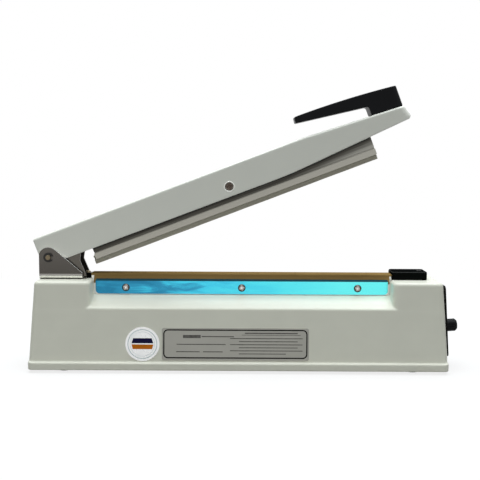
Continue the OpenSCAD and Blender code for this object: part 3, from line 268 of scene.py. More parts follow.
def casing_shape(x, y, z):
    """Distance to the casting in mm, with its inside and its openings."""
    c, s = math.cos(DRAFT), math.sin(DRAFT)
    up = z - SKIRT_TOP
    ends = (np.abs(x) - CASING_L / 2) * c + up * s
    sides = (np.abs(y) - CASING_W / 2) * c + up * s
    half = RIDGE_W / 2
    shelf_half = CASING_W / 2 - (SHELF_Z - SKIRT_TOP) * math.tan(DRAFT)
    tilt = math.atan((RIDGE_Z - SHELF_Z) / (shelf_half - half))
    slope = (z - RIDGE_Z) * math.cos(tilt) + (np.abs(y) - half) * math.sin(tilt)
    roof = ease(z - RIDGE_Z, slope, 1.5)
    tower = np.minimum(x - RECESS[0], RECESS[1] - x)
    walls = meet(ends, sides, CORNER_R)
    low = meet(walls, roof, SHELF_EDGE_R)
    high = meet(meet(walls, tower, TOWER_CORNER_R), z - TOWER_Z, TOWER_EDGE_R)
    foot = TOWER_FOOT_R * np.clip(-walls / WALL, 0, 1)
    body = np.maximum(join(low, high, foot), FOOT_H - z)
    past_end, past_side = np.abs(x) - CASING_L / 2, np.abs(y) - CASING_W / 2
    skirt = meet(past_end - SKIRT_END, past_side - SKIRT_LIP, SKIRT_CORNER_R)
    out = np.maximum(past_end, past_side)
    ledge = (z - SKIRT_TOP) * math.cos(LEDGE_TILT) + out * math.sin(LEDGE_TILT)
    skirt = meet(meet(skirt, ledge, SKIRT_EDGE_R), FOOT_H - z, SKIRT_FOOT_R)
    outer = join(body, skirt, SKIRT_FOOT_R)
    inner = np.maximum(np.maximum(ends, sides), np.minimum(
        roof, np.maximum(tower + TOWER_WALL - WALL, z - TOWER_Z))) + WALL
    shell = np.maximum(outer, -inner)
    socket = np.maximum.reduce([SEAL[0] - x, x - SEAL[1], np.abs(y) - SLOT_HALF_W, RIDGE_Z - z])
    toes = np.maximum.reduce([TOE_X[0] - x, x - TOE_X[1],
                              np.abs(np.abs(y) - TOE_Y) - TOE_HALF_W, ABOVE_ROOF - z])
    along = up * c - (x - CASING_L / 2) * s
    window = np.maximum.reduce([WINDOW_X - x, np.abs(y) - WINDOW_HALF_W,
                                np.abs(along - WINDOW_MID) - WINDOW_HALF_H])
    lead = np.minimum(np.hypot(x - LEADS_X[0], y), np.hypot(x - LEADS_X[1], y)) - LEAD_R
    grommet = np.hypot(x - GROMMET_X, up * c - (y - CASING_W / 2) * s - GROMMET_UP) - GROMMET_R
    for hole in (socket, toes, window, np.maximum(lead, ABOVE_ROOF - z), np.maximum(grommet, -y)):
        shell = np.maximum(shell, -hole)
    return shell


casing_mesh = moulded(
    "casing",
    graded(-218, 218, 6, (-218, -198, 0.9), (-182, -145, 0.9), (152, 178, 0.9), (198, 218, 0.9)),
    graded(-45, 45, 4, (-45, -28, 0.8), (-17, -9, 0.8), (9, 17, 0.8), (28, 45, 0.8)),
    graded(1.5, 95, 4, (1.5, 15, 0.7), (60, 95, 0.8)), casing_shape)


def finish(name, code, roughness, metallic=0.0, drift=0.05, drift_mm=30.0, grain_mm=0.6,
           relief=0.02, stretch=(1, 1, 1), wander=0.05, coat=0.0, ior=None, specular=0.5):
    """Material with a slow drift of tone, a fine relief and an uneven gloss, in mm."""
    material = bpy.data.materials.new(name)
    material.use_nodes = True
    tree = material.node_tree
    shader = tree.nodes["Principled BSDF"]
    shader.inputs["Metallic"].default_value = metallic
    shader.inputs["Coat Weight"].default_value = coat
    shader.inputs["Coat Roughness"].default_value = 0.12
    shader.inputs["Specular IOR Level"].default_value = specular
    if ior:
        shader.inputs["IOR"].default_value = ior
    colour = linear(code)
    dark = tuple(c * (1 - drift) for c in colour[:3]) + (1.0,)
    pale = tuple(min(c * (1 + drift), 1.0) for c in colour[:3]) + (1.0,)
    place = add(tree, "TexCoord")
    laid = add(tree, "Mapping", {"Vector": place.outputs["Object"], "Scale": stretch})
    slow = add(tree, "TexNoise", {"Vector": laid.outputs[0], "Scale": 1000 / drift_mm,
                                  "Detail": 5.0})
    tone = add(tree, "ValToRGB", {"Fac": slow.outputs["Fac"]}, stops=[(0.32, dark), (0.68, pale)])
    gloss = add(tree, "MapRange", {"Value": slow.outputs["Fac"], "From Min": 0.3, "From Max": 0.7,
                                   "To Min": max(roughness - wander, 0.02),
                                   "To Max": roughness + wander})
    fine = add(tree, "TexNoise", {"Vector": laid.outputs[0], "Scale": 1000 / grain_mm,
                                  "Detail": 3.0})
    bump = add(tree, "Bump", {"Strength": 1.0, "Distance": relief * MM,
                              "Height": fine.outputs["Fac"]})
    tree.links.new(tone.outputs["Color"], shader.inputs["Base Color"])
    tree.links.new(gloss.outputs[0], shader.inputs["Roughness"])
    tree.links.new(bump.outputs[0], shader.inputs["Normal"])
    return material


# Sprayed enamel: satin gloss with a faint orange peel, a peel spacing of about 1.2 mm.
enamel = finish("casing_sprayed_enamel", "#e9e9da", 0.38, drift=0.02, grain_mm=1.2, relief=0.012,
                ior=1.5)
new_piece("casing_enamelled", casing_mesh, "root", ["casing"], enamel)

# ---------------------------------------------------------------- base
# A zinc-plated sheet closes the casing from below. It carries the transformer, the
# timer board and four rubber feet, all held by plated machine screws.

# Rolled zinc is a cool grey with long soft streaks, turned nickel is brighter and even,
# and moulded rubber is a dull black with a fine grain.
sheet_zinc = finish("rolled_zinc_plated_sheet", "#b4b6b6", 0.34, metallic=0.9, drift=0.12,
                    drift_mm=8, stretch=(0.2, 1, 1), relief=0.006)
plated_screw = finish("turned_nickel_plated_steel", "#c9c8c4", 0.24, metallic=1.0, drift=0.05,
                      drift_mm=2, grain_mm=0.2, relief=0.004)
foot_rubber = finish("moulded_black_rubber", "#1b1b1b", 0.72, drift=0.15, grain_mm=0.4,
                     relief=0.03)


def dress(material, *names):
    """Gives CAD nodes that stay as they are their material."""
    for name in names:
        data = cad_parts[name].data
        data.materials.clear()
        data.materials.append(material)


def softened(name, body, material, edge, least=35, segments=2, frame_at=None, rim=None):
    """A CAD node's solid with its sharp edges broken by a radius in mm; rim is a second
    material and the test on a face's normal that gives it."""
    bm = bmesh.new()
    bm.from_mesh(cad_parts[name].data)
    if frame_at is not None:
        bm.transform(frame_at.inverted())
    bmesh.ops.remove_doubles(bm, verts=bm.verts, dist=2e-6)
    bmesh.ops.dissolve_limit(bm, angle_limit=math.radians(0.5), verts=bm.verts, edges=bm.edges)
    sharp = [e for e in bm.edges
             if len(e.link_faces) == 2 and e.calc_face_angle() > math.radians(least)]
    bmesh.ops.bevel(bm, geom=sharp, offset=edge * MM, offset_type="OFFSET", segments=segments,
                    profile=0.5, affect="EDGES", clamp_overlap=True)
    bm.normal_update()
    for face in bm.faces:
        face.material_index = int(rim is not None and rim[1](face.normal))
    mesh = bpy.data.meshes.new(name + "_soft")
    bm.to_mesh(mesh)
    bm.free()
    mesh.shade_smooth()
    piece = new_piece(name + "_soft", mesh, body, [name], material, frame_at)
    if rim:
        mesh.materials.append(rim[0])
    weigh = piece.modifiers.new("even_normals", "WEIGHTED_NORMAL")
    weigh.keep_sharp = True
    return piece


softened("bottom_plate", "root", sheet_zinc, 0.2)
softened("rubber_feet", "root", foot_rubber, 1.0, segments=3)
for screws in ("bottom_screws", "foot_screws", "panel_screws", "bracket_screws"):
    softened(screws, "root", plated_screw, 0.3)
dress(plated_screw, "board_screws", "transformer_screws", "seal_bar_screws", "switch_screws",
      "pot_nut")

# ---------------------------------------------------------------- electrics
# Transformer, timer board, terminals and switch sit inside the casing. They are
# stock parts: stamped laminations, taped windings and moulded cases.

# Stacked laminations give fine dark lines, wound tape a glossy amber band and solder mask
# a smooth green. Moulded cases, sleeves and nylon are satin; the springs, terminals and
# heating strip are bare metals with a drawn sheen, and glass tape is dull and woven.
lamination = finish("stacked_silicon_steel", "#6f7072", 0.45, metallic=0.7, drift=0.25,
                    drift_mm=1.5, stretch=(0.02, 1, 0.02), relief=0.05, grain_mm=0.5)
winding_tape = finish("wound_polyester_tape", "#d3aa3c", 0.3, drift=0.08, stretch=(1, 1, 0.2),
                      relief=0.03)
solder_mask = finish("green_solder_mask", "#1f6a3a", 0.3, drift=0.1, drift_mm=4, relief=0.02)
part_case = finish("moulded_component_case", "#27468c", 0.3, drift=0.1, relief=0.01)
nylon = finish("natural_nylon", "#d8d7cc", 0.5, drift=0.04)
lead_sleeve = finish("extruded_red_pvc", "#b4281f", 0.42, drift=0.08)
switch_case = finish("moulded_switch_case", "#202124", 0.45, drift=0.1)
plunger_red = finish("moulded_red_acetal", "#b52a1c", 0.35, drift=0.06)
brass = finish("turned_brass", "#b7a887", 0.28, metallic=1.0, drift=0.08, grain_mm=0.3)
wire_steel = finish("drawn_spring_wire", "#7a7a79", 0.34, metallic=1.0, drift=0.1, grain_mm=0.3)
glass_tape = finish("woven_glass_tape", "#d9d2b8", 0.7, drift=0.06, grain_mm=0.5, relief=0.06)
heater = finish("rolled_nickel_chrome_strip", "#9a948a", 0.4, metallic=1.0, drift=0.12,
                stretch=(0.1, 1, 1))
for material, names in (
        (lamination, ["transformer_core"]), (winding_tape, ["transformer_coil"]),
        (sheet_zinc, ["transformer_strap", "switch_bracket", "potentiometer"]),
        (solder_mask, ["timer_board"]), (part_case, ["board_parts"]), (nylon, ["board_spacers"]),
        (lead_sleeve, ["element_leads"]), (switch_case, ["switch_body"]),
        (plunger_red, ["switch_plunger"]), (brass, ["terminal_screws"]),
        (wire_steel, ["tension_spring", "lift_spring"]), (glass_tape, ["insulating_strip"]),
        (heater, ["heating_element"]), (foot_rubber, ["cord_grommet"])):
    dress(material, *names)

# ---------------------------------------------------------------- end panel
# A black satin panel screwed to the right wall. It carries the timer knob and a
# small red pilot lamp.

# Satin film that hardly reflects, glossier moulded phenolic on the knob, and a clear red
# moulded lens with a sharp highlight.
panel_black = finish("satin_black_panel", "#171615", 0.42, drift=0.12, grain_mm=0.5, relief=0.015,
                     specular=0.03)
softened("end_panel", "root", panel_black, 1.1, segments=4)
knob_black = finish("moulded_black_phenolic", "#101112", 0.22, drift=0.12, grain_mm=0.8,
                    relief=0.01, specular=0.07)
softened("timer_knob", "knob", knob_black, 0.25, least=50)
lens_red = finish("moulded_red_lens", "#c0201a", 0.12, drift=0.08, coat=0.4)
softened("pilot_lamp", "root", lens_red, 0.8, segments=3)

# ---------------------------------------------------------------- seal bed
# A drawn aluminium bar carries the heating strip under brown coated glass cloth.
# Two blue filmed aluminium strips are screwed along its sides and clamp the cloth.

# Drawn aluminium: bright, with faint long die lines.
bright_bar = finish("drawn_bright_aluminium", "#e9eae6", 0.3, metallic=0.85, drift=0.04,
                    drift_mm=12, stretch=(0.05, 1, 1), relief=0.008, grain_mm=0.3)
softened("seal_bar", "root", bright_bar, 0.3)

# The cloth lies over the neck of the bar; its sides slant out over the shoulders and
# end under the lips of the strips. Its two ends are narrower, to enter the towers.
CLOTH_SIDE = [(0.0, 98.58), (3.0, 98.6), (6.0, 98.58), (8.0, 98.5), (8.6, 98.2), (8.85, 97.6),
              (8.95, 96.4), (9.1, 95.5), (9.45, 94.6), (9.85, 93.7), (10.2, 92.9), (10.6, 92.15),
              (11.2, 91.85), (11.7, 91.7), (11.85, 91.3), (11.85, 90.0), (11.85, 88.7)]
CLOTH_NECK, CLOTH_GAP, CLOTH_STEP = 9.0, 0.35, 2.5


def cloth_sheet():
    """Mesh of the cloth, its cut width and its flat area; it ripples where it hangs free."""
    side = [(-y, z) for y, z in CLOTH_SIDE[:0:-1]] + CLOTH_SIDE
    xs = ([SEAL[0]] + list(np.arange(RECESS[0] + CLOTH_GAP, RECESS[1] - 1, CLOTH_STEP))
          + [RECESS[1] - CLOTH_GAP, SEAL[1]])
    verts = []
    for x in xs:
        for k, (y, z) in enumerate(side):
            free = max(0.0, 1 - abs(abs(y) - 9.6) / 1.0)
            wave = free * (0.16 * math.sin(x / 9.3 + 1.1 * (y > 0)) + 0.1 * math.sin(x / 3.7 + 2))
            verts.append(Vector((x, y + math.copysign(wave, y) if y else y, z + 0.5 * wave)) * MM)
    n, faces, area = len(side), [], 0.0
    for i in range(len(xs) - 1):
        inside = 0 < i < len(xs) - 2
        for k in range(n - 1):
            if inside or max(abs(side[k][0]), abs(side[k + 1][0])) < CLOTH_NECK:
                faces.append((i * n + k, (i + 1) * n + k, (i + 1) * n + k + 1, i * n + k + 1))
                area += (xs[i + 1] - xs[i]) * math.dist(side[k], side[k + 1])
    mesh = bpy.data.meshes.new("nonstick_cloth_sheet")
    mesh.from_pydata(verts, [], faces)
    bm = bmesh.new()
    bm.from_mesh(mesh)
    bmesh.ops.delete(bm, geom=[v for v in bm.verts if not v.link_faces], context="VERTS")
    bm.to_mesh(mesh)
    bm.free()
    mesh.shade_smooth()
    return mesh, sum(math.dist(a, b) for a, b in zip(side, side[1:])), area


# Coated glass cloth: brown, waxy and dull, with streaks along the stretched length.
coated_cloth = finish("ptfe_coated_glass_cloth", "#94794a", 0.5, drift=0.12, drift_mm=14,
                      stretch=(0.15, 1, 1), relief=0.06, grain_mm=0.8, specular=0.0)
cloth_mesh, cloth_width, cloth_area = cloth_sheet()
cloth = new_piece("nonstick_cloth_sheet", cloth_mesh, "root", ["nonstick_cloth"],
                  coated_cloth)

# Blue protective film on aluminium: a deep tone at the hinge end and a pale bright one at the timer
# end, partly the film's own tone and partly painted reflection, with handling wrinkles that run
# mostly along the strip. Along every edge of the strips the film is painted a dark teal: a painted
# shade line.
blue_film = finish("blue_filmed_aluminium", "#41d0ed", 0.22, metallic=0.9, drift=0.1, drift_mm=30,
                   stretch=(1, 1, 0.4), relief=0.03, grain_mm=4, coat=0.3)
tree = blue_film.node_tree
shader = tree.nodes["Principled BSDF"]
spot = add(tree, "TexCoord")
run = add(tree, "SeparateXYZ", {0: spot.outputs["Object"]})
creased = add(tree, "Mapping", {"Vector": spot.outputs["Object"], "Scale": (0.3, 1, 1.4)})
crease = add(tree, "TexNoise", {"Vector": creased.outputs[0], "Scale": 90.0, "Detail": 6.0,
                                "Distortion": 0.8})
along = add(tree, "MapRange", {"Value": run.outputs["X"], "From Min": -0.152, "From Max": 0.157})
less = add(tree, "MapRange", {"Value": along.outputs[0], "From Min": 0.15, "From Max": 0.75,
                              "To Min": 0.34, "To Max": 0.03})
swing = add(tree, "MapRange", {"Value": crease.outputs["Fac"], "From Min": 0.35, "From Max": 0.65,
                               "To Min": -0.5, "To Max": 0.5})
push = add(tree, "Math", {0: swing.outputs[0], 1: less.outputs[0]}, operation="MULTIPLY")
place = add(tree, "Math", {0: along.outputs[0], 1: push.outputs[0]}, operation="ADD")
# Tone along the strip, partly painted reflection, pushed about by the wrinkles.
film_tone_and_painted_reflection = add(tree, "ValToRGB", {"Fac": place.outputs[0]}, stops=[
    (0.0, linear("#1a7fa6")), (0.2, linear("#2b97be")), (0.38, linear("#42d2f2")),
    (0.62, linear("#54eafb")), (0.85, linear("#6cfdff"))])
tree.links.new(film_tone_and_painted_reflection.outputs["Color"], shader.inputs["Base Color"])
# Dark teal on the strips' edge faces: painted shade.
film_edge_painted_shade = finish("blue_film_edge_painted_shade", "#0c4350", 0.4, drift=0.2, drift_mm=6,
                   specular=0.05)
for strip in ("front_strip", "rear_strip"):
    softened(strip, "root", blue_film, 0.45,
             rim=(film_edge_painted_shade, lambda n: abs(n.y) < 0.93))

SCREWS_X, SCREW_FACE, SCREW_Z = (-117.8, 3.2, 124.2), 13.2, 84.3
HEAD_GROWTH = 1.5


def screw_head(x, y, z):
    """Domed cross-recess head on z = 0, 5.6 mm across before HEAD_GROWTH makes it 8.4."""
    dome = np.maximum(np.sqrt(x * x + y * y + (z + 1.65) ** 2) - 3.25, -z)
    cross = np.minimum(np.maximum(np.abs(x) - 0.36, np.abs(y) - 1.5),
                       np.maximum(np.abs(y) - 0.36, np.abs(x) - 1.5))
    return np.maximum(dome, -np.maximum(cross, 0.5 - z))


head_grid = graded(-3, 3, 0.24)
head_mesh = moulded("screw_head", head_grid, head_grid, graded(-0.3, 1.9, 0.22), screw_head)
joined = bmesh.new()
for k, x in enumerate(SCREWS_X):
    for side in (-1, 1):
        turned = head_mesh.copy()
        turned.transform(Matrix.Translation(Vector((x, side * SCREW_FACE, SCREW_Z)) * MM)
                         @ Matrix.Scale(HEAD_GROWTH, 4)
                         @ Matrix.Rotation(-side * math.radians(90), 4, "X")
                         @ Matrix.Rotation(0.35 + 0.9 * k + side, 4, "Z"))
        joined.from_mesh(turned)
heads = bpy.data.meshes.new("strip_screw_heads")
joined.to_mesh(heads)
joined.free()
heads.shade_smooth()
# Plated domed heads with painted light by the tilt of each face: a painted white highlight on top
# of the dome and painted shade dark round the rim.
head_steel = finish("domed_plated_screw_steel", "#d6d4d0", 0.22, metallic=1.0, drift=0.05,
                    drift_mm=2, grain_mm=0.2, relief=0.004)
tree = head_steel.node_tree
faces_out = add(tree, "NewGeometry")
turn = add(tree, "SeparateXYZ", {0: faces_out.outputs["Normal"]})
toward = add(tree, "Math", {0: turn.outputs["Y"]}, operation="ABSOLUTE")
# Painted highlight where a face looks straight out, painted shade where it tilts away.
dome_highlight_rim_shade = add(tree, "ValToRGB", {"Fac": toward.outputs[0]}, stops=[
    (0.0, linear("#6a6561")), (0.8, linear("#433f3b")), (0.91, linear("#7d7975")),
    (0.97, linear("#f0efec"))])
tree.links.new(dome_highlight_rim_shade.outputs["Color"], tree.nodes["Principled BSDF"].inputs["Base Color"])
new_piece("strip_screw_heads", heads, "root", ["strip_screws"], head_steel)

# Moulded ABS: black, with a painted highlight: a thin grey line on faces that tilt partly upwards,
# where an upper edge would catch the light.
black_abs = finish("moulded_black_abs", "#0c0d0e", 0.18, drift=0.1, grain_mm=0.7, relief=0.006,
                   specular=0.0)
tree = black_abs.node_tree
faces_out = add(tree, "NewGeometry")
turn = add(tree, "SeparateXYZ", {0: faces_out.outputs["Normal"]})
# Grey painted highlight on faces tilted about halfway up.
edge_painted_highlight = add(tree, "ValToRGB", {"Fac": turn.outputs["Z"]}, stops=[
    (0.0, linear("#0f1110")), (0.35, linear("#121313")), (0.6, linear("#4b4d4c")),
    (0.85, linear("#0d0e0e"))])
tree.links.new(edge_painted_highlight.outputs["Color"], tree.nodes["Principled BSDF"].inputs["Base Color"])
softened("left_terminal", "root", black_abs, 0.4)
softened("right_terminal", "root", black_abs, 0.4)

CAP_START, CAP_HALF_L, CAP_HALF_W, CAP_H, CAP_WALL = RECESS[1] + 1.9, 18.5, 12.5, 8.9, 1.8
CAP_MID, CAP_TOP, CAP_SCREW = CAP_START + CAP_HALF_L, TOWER_Z + CAP_H, CAP_START + 30.5
CAP_CORNER_R, CAP_EDGE_R = 3.0, 1.6
MOUTH_DEPTH, MOUTH_HALF_W, MOUTH_TOP = 3.5, 9.1, 99.0
POST_R, POST_HOLE_R, SEAT_R, SEAT_DEPTH = 3.6, 1.6, 3.0, 2.0


def cap_shape(x, y, z):
    """Distance to the cap: a thin lid with a mouth for the cloth and a post for its screw."""
    u, v = np.abs(x - CAP_MID), np.abs(y)
    plan = meet(u - CAP_HALF_L, v - CAP_HALF_W, CAP_CORNER_R)
    outer = np.maximum(meet(plan, z - CAP_TOP, CAP_EDGE_R), TOWER_Z - z)
    inner = np.maximum.reduce([u - CAP_HALF_L, v - CAP_HALF_W, z - CAP_TOP]) + CAP_WALL
    mouth = np.maximum.reduce([x - CAP_START - MOUTH_DEPTH, v - MOUTH_HALF_W, z - MOUTH_TOP])
    post = np.hypot(x - CAP_SCREW, y)
    shell = np.maximum.reduce([outer, -inner, -mouth])
    shell = np.minimum(shell, np.maximum.reduce([post - POST_R, TOWER_Z - z, z - CAP_TOP + 1]))
    seat = np.maximum(post - SEAT_R, CAP_TOP - SEAT_DEPTH - z)
    return np.maximum.reduce([shell, POST_HOLE_R - post, -seat])


cap_mesh = moulded("terminal_cap", graded(CAP_MID - 19.2, CAP_MID + 19.2, 0.6),
                   graded(-13.2, 13.2, 0.6), graded(92.6, 102.8, 0.4), cap_shape)
new_piece("terminal_cap_moulded", cap_mesh, "root", ["terminal_cap"], black_abs)
# Phosphated steel is a soft charcoal metal without a sharp highlight.
black_screw = finish("phosphated_steel", "#2c2b2a", 0.42, metallic=0.8, drift=0.1, grain_mm=0.3)
softened("cap_screw", "root", black_screw, 0.3)

# ---------------------------------------------------------------- hinge
# A folded steel bracket on the left tower holds the arm on a pin with two clips.
# The yoke inside the arm turns on the same pin.

# Folded plated sheet is a smoky grey mirror. The bracket's foot carries painted light by height: a
# painted shadow line at the bottom, a bright painted highlight band above it, then a dark line and
# a faint pale painted highlight line where the sheet bends. Its rim carries a painted highlight
# too.
dark_plate = finish("folded_nickel_plated_sheet", "#595650", 0.3, metallic=0.9, drift=0.08,
                    drift_mm=14, relief=0.006)
bracket_plate = finish("folded_bracket_sheet", "#5c5954", 0.3, metallic=0.9, drift=0.08,
                       drift_mm=14, relief=0.006)
# Bands by height above the tower: a painted shadow line at the bottom and painted highlight bands
# above it.
tree = bracket_plate.node_tree
spot = add(tree, "TexCoord")
run = add(tree, "SeparateXYZ", {0: spot.outputs["Object"]})
rise = add(tree, "MapRange", {"Value": run.outputs["Z"], "From Min": TOWER_Z * MM,
                              "From Max": 0.1272})
folded = add(tree, "ValToRGB", {"Fac": rise.outputs[0]}, stops=[
    (0.0, linear("#171615")), (0.03, linear("#3c3a38")), (0.04, linear("#f4f3f0")),
    (0.1, linear("#f4f3f0")), (0.115, linear("#45423e")), (0.145, linear("#a9a7a3")),
    (0.17, linear("#4d4a46")), (0.9, linear("#56534f"))])
tree.links.new(folded.outputs["Color"], tree.nodes["Principled BSDF"].inputs["Base Color"])
# Pale material on rim faces that turn up or to the left: a painted highlight.
rim_painted_highlight = finish("bracket_rim_painted_highlight", "#f2f1ee", 0.4, metallic=0.4, drift=0.06, drift_mm=5)
softened("hinge_bracket", "root", bracket_plate, 0.7, segments=2,
         rim=(rim_painted_highlight, lambda n: (n.z > 0.15 or n.x < -0.2) and abs(n.y) < 0.97))
softened("hinge_yoke", "arm", dark_plate, 0.3)
# Passivated steel is a warm brownish metal.
pin_steel = finish("turned_passivated_steel", "#6e6350", 0.35, metallic=0.9, drift=0.1,
                   grain_mm=0.3)
softened("hinge_pin", "root", pin_steel, 0.4)
softened("retaining_clips", "root", black_screw, 0.15)
dress(plated_screw, "yoke_screws")

# ---------------------------------------------------------------- plates
# A printed silver plate and a round sticker are stuck on the front wall. Both carry
# plain rules and bands only.

FRONT_FRAME = (Matrix.Translation(Vector((0, -CASING_W / 2, SKIRT_TOP)) * MM)
               @ Matrix.Rotation(-DRAFT, 4, "X"))
PLATE = (-3.1, 18.5)
STICKER = (-3.1 - 75 - 2.4 - 17.4, 18.4)
INK_PROUD = 0.45


def printed(name, shapes, material):
    """Ink on the front wall: filled outlines and rings, as flat faces in mm."""
    bm = bmesh.new()
    for outer, inner in shapes:
        loops = [[bm.verts.new(Vector((u, -INK_PROUD, v)) * MM) for u, v in loop]
                 for loop in (outer, inner) if loop]
        if inner:
            n = len(outer)
            for i in range(n):
                j = (i + 1) % n
                bm.faces.new((loops[0][i], loops[0][j], loops[1][j], loops[1][i]))
        else:
            bm.faces.new(loops[0])
    mesh = bpy.data.meshes.new(name)
    bm.to_mesh(mesh)
    bm.free()
    return new_piece(name, mesh, "root", [], material, FRONT_FRAME)


def round_box(mid, half_u, half_v, r):
    """Outline of a box with round corners, nine points to a corner."""
    turns = [(1, 1, 0), (-1, 1, 90), (-1, -1, 180), (1, -1, 270)]
    return [(mid[0] + s * (half_u - r) + r * math.cos(math.radians(t + k * 11.25)),
             mid[1] + c * (half_v - r) + r * math.sin(math.radians(t + k * 11.25)))
            for s, c, t in turns for k in range(9)]


def ring(mid, r):
    """Outline of a circle."""
    return [(mid[0] + r * math.cos(k * math.tau / 72), mid[1] + r * math.sin(k * math.tau / 72))
            for k in range(72)]


# Silver film is an even pale grey with a faint metal sheen, white film is brighter and
# pearly, and the printed inks are flat and dull.
plate_film = finish("printed_silver_film", "#b3b1a8", 0.35, metallic=0.15, drift=0.03)
dress(plate_film, "data_plate")
border = (PLATE[0], PLATE[1] + 0.3)
rules = [(round_box(border, 73.6, 14.9, 4.8), round_box(border, 72.3, 13.6, 3.5))]
rows = [(-47.5, 26.4, 9.0, 1.6), (-21.0, 26.4, 16.5, 0.5), (-38.0, 18.4, 25.0, 0.45),
        (-51.5, 10.8, 12.0, 0.45), (-26.0, 10.8, 10.0, 0.45), (33.5, 30.0, 27.0, 0.6),
        (33.5, 28.1, 30.0, 0.25)]
rows += [(28.5 + (k % 2) * 2 - (k == 5) * 6, 24.6 - 3.15 * k,
          37.0 - (k % 2) * 7 - (k == 5) * 6, 0.42) for k in range(6)]
for u, v, half, thick in rows:
    rules.append(([(u - half, v - thick), (u + half, v - thick), (u + half, v + thick),
                   (u - half, v + thick)], None))
ink = finish("screen_printed_black_ink", "#161515", 0.5, drift=0.1, specular=0.04)
printed("plate_rules", [rules[0]], ink)
faded = finish("screen_printed_grey_ink", "#6a6863", 0.5, drift=0.2, drift_mm=2.5,
               specular=0.1)
printed("plate_blank_lines", rules[1:], faded)
sticker_film = finish("printed_white_film", "#fdfefe", 0.3, metallic=0.5, drift=0.02)
dress(sticker_film, "round_sticker")
pale_ink = finish("printed_pale_blue_ink", "#b9cdd0", 0.4, drift=0.05)
printed("sticker_rings", [(ring(STICKER, 15.1), ring(STICKER, 14.4)),
                          (ring(STICKER, 12.6), ring(STICKER, 12.3))], pale_ink)
navy = finish("printed_navy_ink", "#1b1840", 0.5, drift=0.06, specular=0.04)
orange = finish("printed_orange_ink", "#d5761c", 0.5, drift=0.06, specular=0.04)
BAND_R = 11.2
for name, material, low, high in (("sticker_navy_band", navy, 0.8, 6.0),
                                  ("sticker_orange_band", orange, -5.2, -0.4)):
    corners = [(-1, low), (1, low), (1, high), (-1, high)]
    band = [(STICKER[0] + side * math.sqrt(BAND_R ** 2 - v * v), STICKER[1] + v)
            for side, v in corners]
    printed(name, [(band, None)], material)

# ---------------------------------------------------------------- arm
# A thin moulded channel, open below, in satin warm white. The press bar hangs in it
# from one screw in a sunk ring.

ARM_OPEN = math.radians(20.85)
ARM_FRAME = Matrix.Translation(Vector(PIN) * MM) @ Matrix.Rotation(-ARM_OPEN, 4, "Y")
ARM_W, ARM_WALL = 30.0, 2.2
ARM_TOP, ARM_LOW, ARM_BACK, ARM_FRONT = 23.2, -7.7, -9.3, 401.6
TAPER_TOP, TAPER_LOW, TIP_TOP, TIP_LOW = 286.0, 265.0, 17.3, 3.0
TIP_LEAN, CHIN_H, TIP_CORNER_R, CHIN_R = 3.4, 2.7, 6.0, 4.5
PIVOT = (201.2, 2.66)
BOSS_R, BOSS_IN, SINK_R, SINK_FLOOR = 7.0, 9.4, 4.45, 12.6
SCREW_HOLE_R, PIN_HOLE_R = 2.6, 3.0
RING_R, RING_Y, RING_ROD = 4.95, 14.8, 0.42


def arm_shape(a, y, b):
    """Distance to the arm shell along the arm, across it and up from its pin."""
    top_run, top_fall = ARM_FRONT - TAPER_TOP, ARM_TOP - TIP_TOP
    low_run, low_rise = ARM_FRONT - TAPER_LOW, TIP_LOW - ARM_LOW
    top_taper = (a - TAPER_TOP) * top_fall + (b - ARM_TOP) * top_run
    low_taper = (a - TAPER_LOW) * low_rise - (b - ARM_LOW) * low_run
    upper = ease(b - ARM_TOP, top_taper / math.hypot(top_run, top_fall), 0.5)
    lower = ease(ARM_LOW - b, low_taper / math.hypot(low_run, low_rise), 1.2)
    side = np.abs(y) - ARM_W / 2
    chin = TIP_LOW + CHIN_H
    lean = math.atan(TIP_LEAN / (TIP_TOP - chin))
    front = (a - ARM_FRONT) * math.cos(lean) + np.maximum(b - chin, 0) * math.sin(lean)
    wall = meet(meet(side, front, TIP_CORNER_R), ARM_BACK - a, 1.2)
    low_front = meet(front, lower, CHIN_R)
    outer = meet(np.maximum(meet(wall, upper, 2.2), low_front), lower, 0.6)
    inner = np.maximum(wall, upper) + ARM_WALL
    shell = np.maximum(outer, -inner)
    centre = np.hypot(a - PIVOT[0], b - PIVOT[1])
    boss = np.maximum.reduce([centre - BOSS_R, BOSS_IN - np.abs(y), side])
    shell = np.minimum(shell, boss)
    sink = np.maximum(centre - SINK_R, SINK_FLOOR - np.abs(y))
    shell = meet(shell, -sink, 0.45)
    holes = np.minimum(centre - SCREW_HOLE_R, np.hypot(a, b) - PIN_HOLE_R)
    return np.maximum(shell, -holes)


arm_mesh = moulded(
    "arm_shell",
    graded(-10.5, 403.5, 6, (-10.5, 4, 0.6), (193, 209, 0.45), (250, 300, 3), (388, 403.5, 0.7)),
    graded(-16.2, 16.2, 2.5, (-16.2, -8.8, 0.45), (8.8, 16.2, 0.45)),
    graded(-9, 25, 2.5, (-9, 10.5, 0.5), (13.5, 25, 0.5)), arm_shape)
# The same enamel as on the casing, laid a little smoother and glossier, with its colour set paler
# as painted light so the arm's side reads brighter.
arm_enamel = finish("arm_satin_enamel", "#f1f2e8", 0.33, drift=0.01, grain_mm=1.4, relief=0.005,
                    wander=0.02, ior=1.5)
new_piece("arm_enamelled", arm_mesh, "arm", ["arm_shell"], arm_enamel, ARM_FRAME)


def ring_shape(a, y, b):
    """Distance to the round rims of the two sunk rings."""
    centre = np.hypot(a - PIVOT[0], b - PIVOT[1])
    return np.hypot(centre - RING_R, np.abs(y) - RING_Y) - RING_ROD


ring_mesh = moulded("pivot_ring", graded(195.8, 206.6, 0.2),
                    graded(-15.5, 15.5, 3, (-15.5, -14.1, 0.2), (14.1, 15.5, 0.2)),
                    graded(-2.7, 8.1, 0.2), ring_shape)
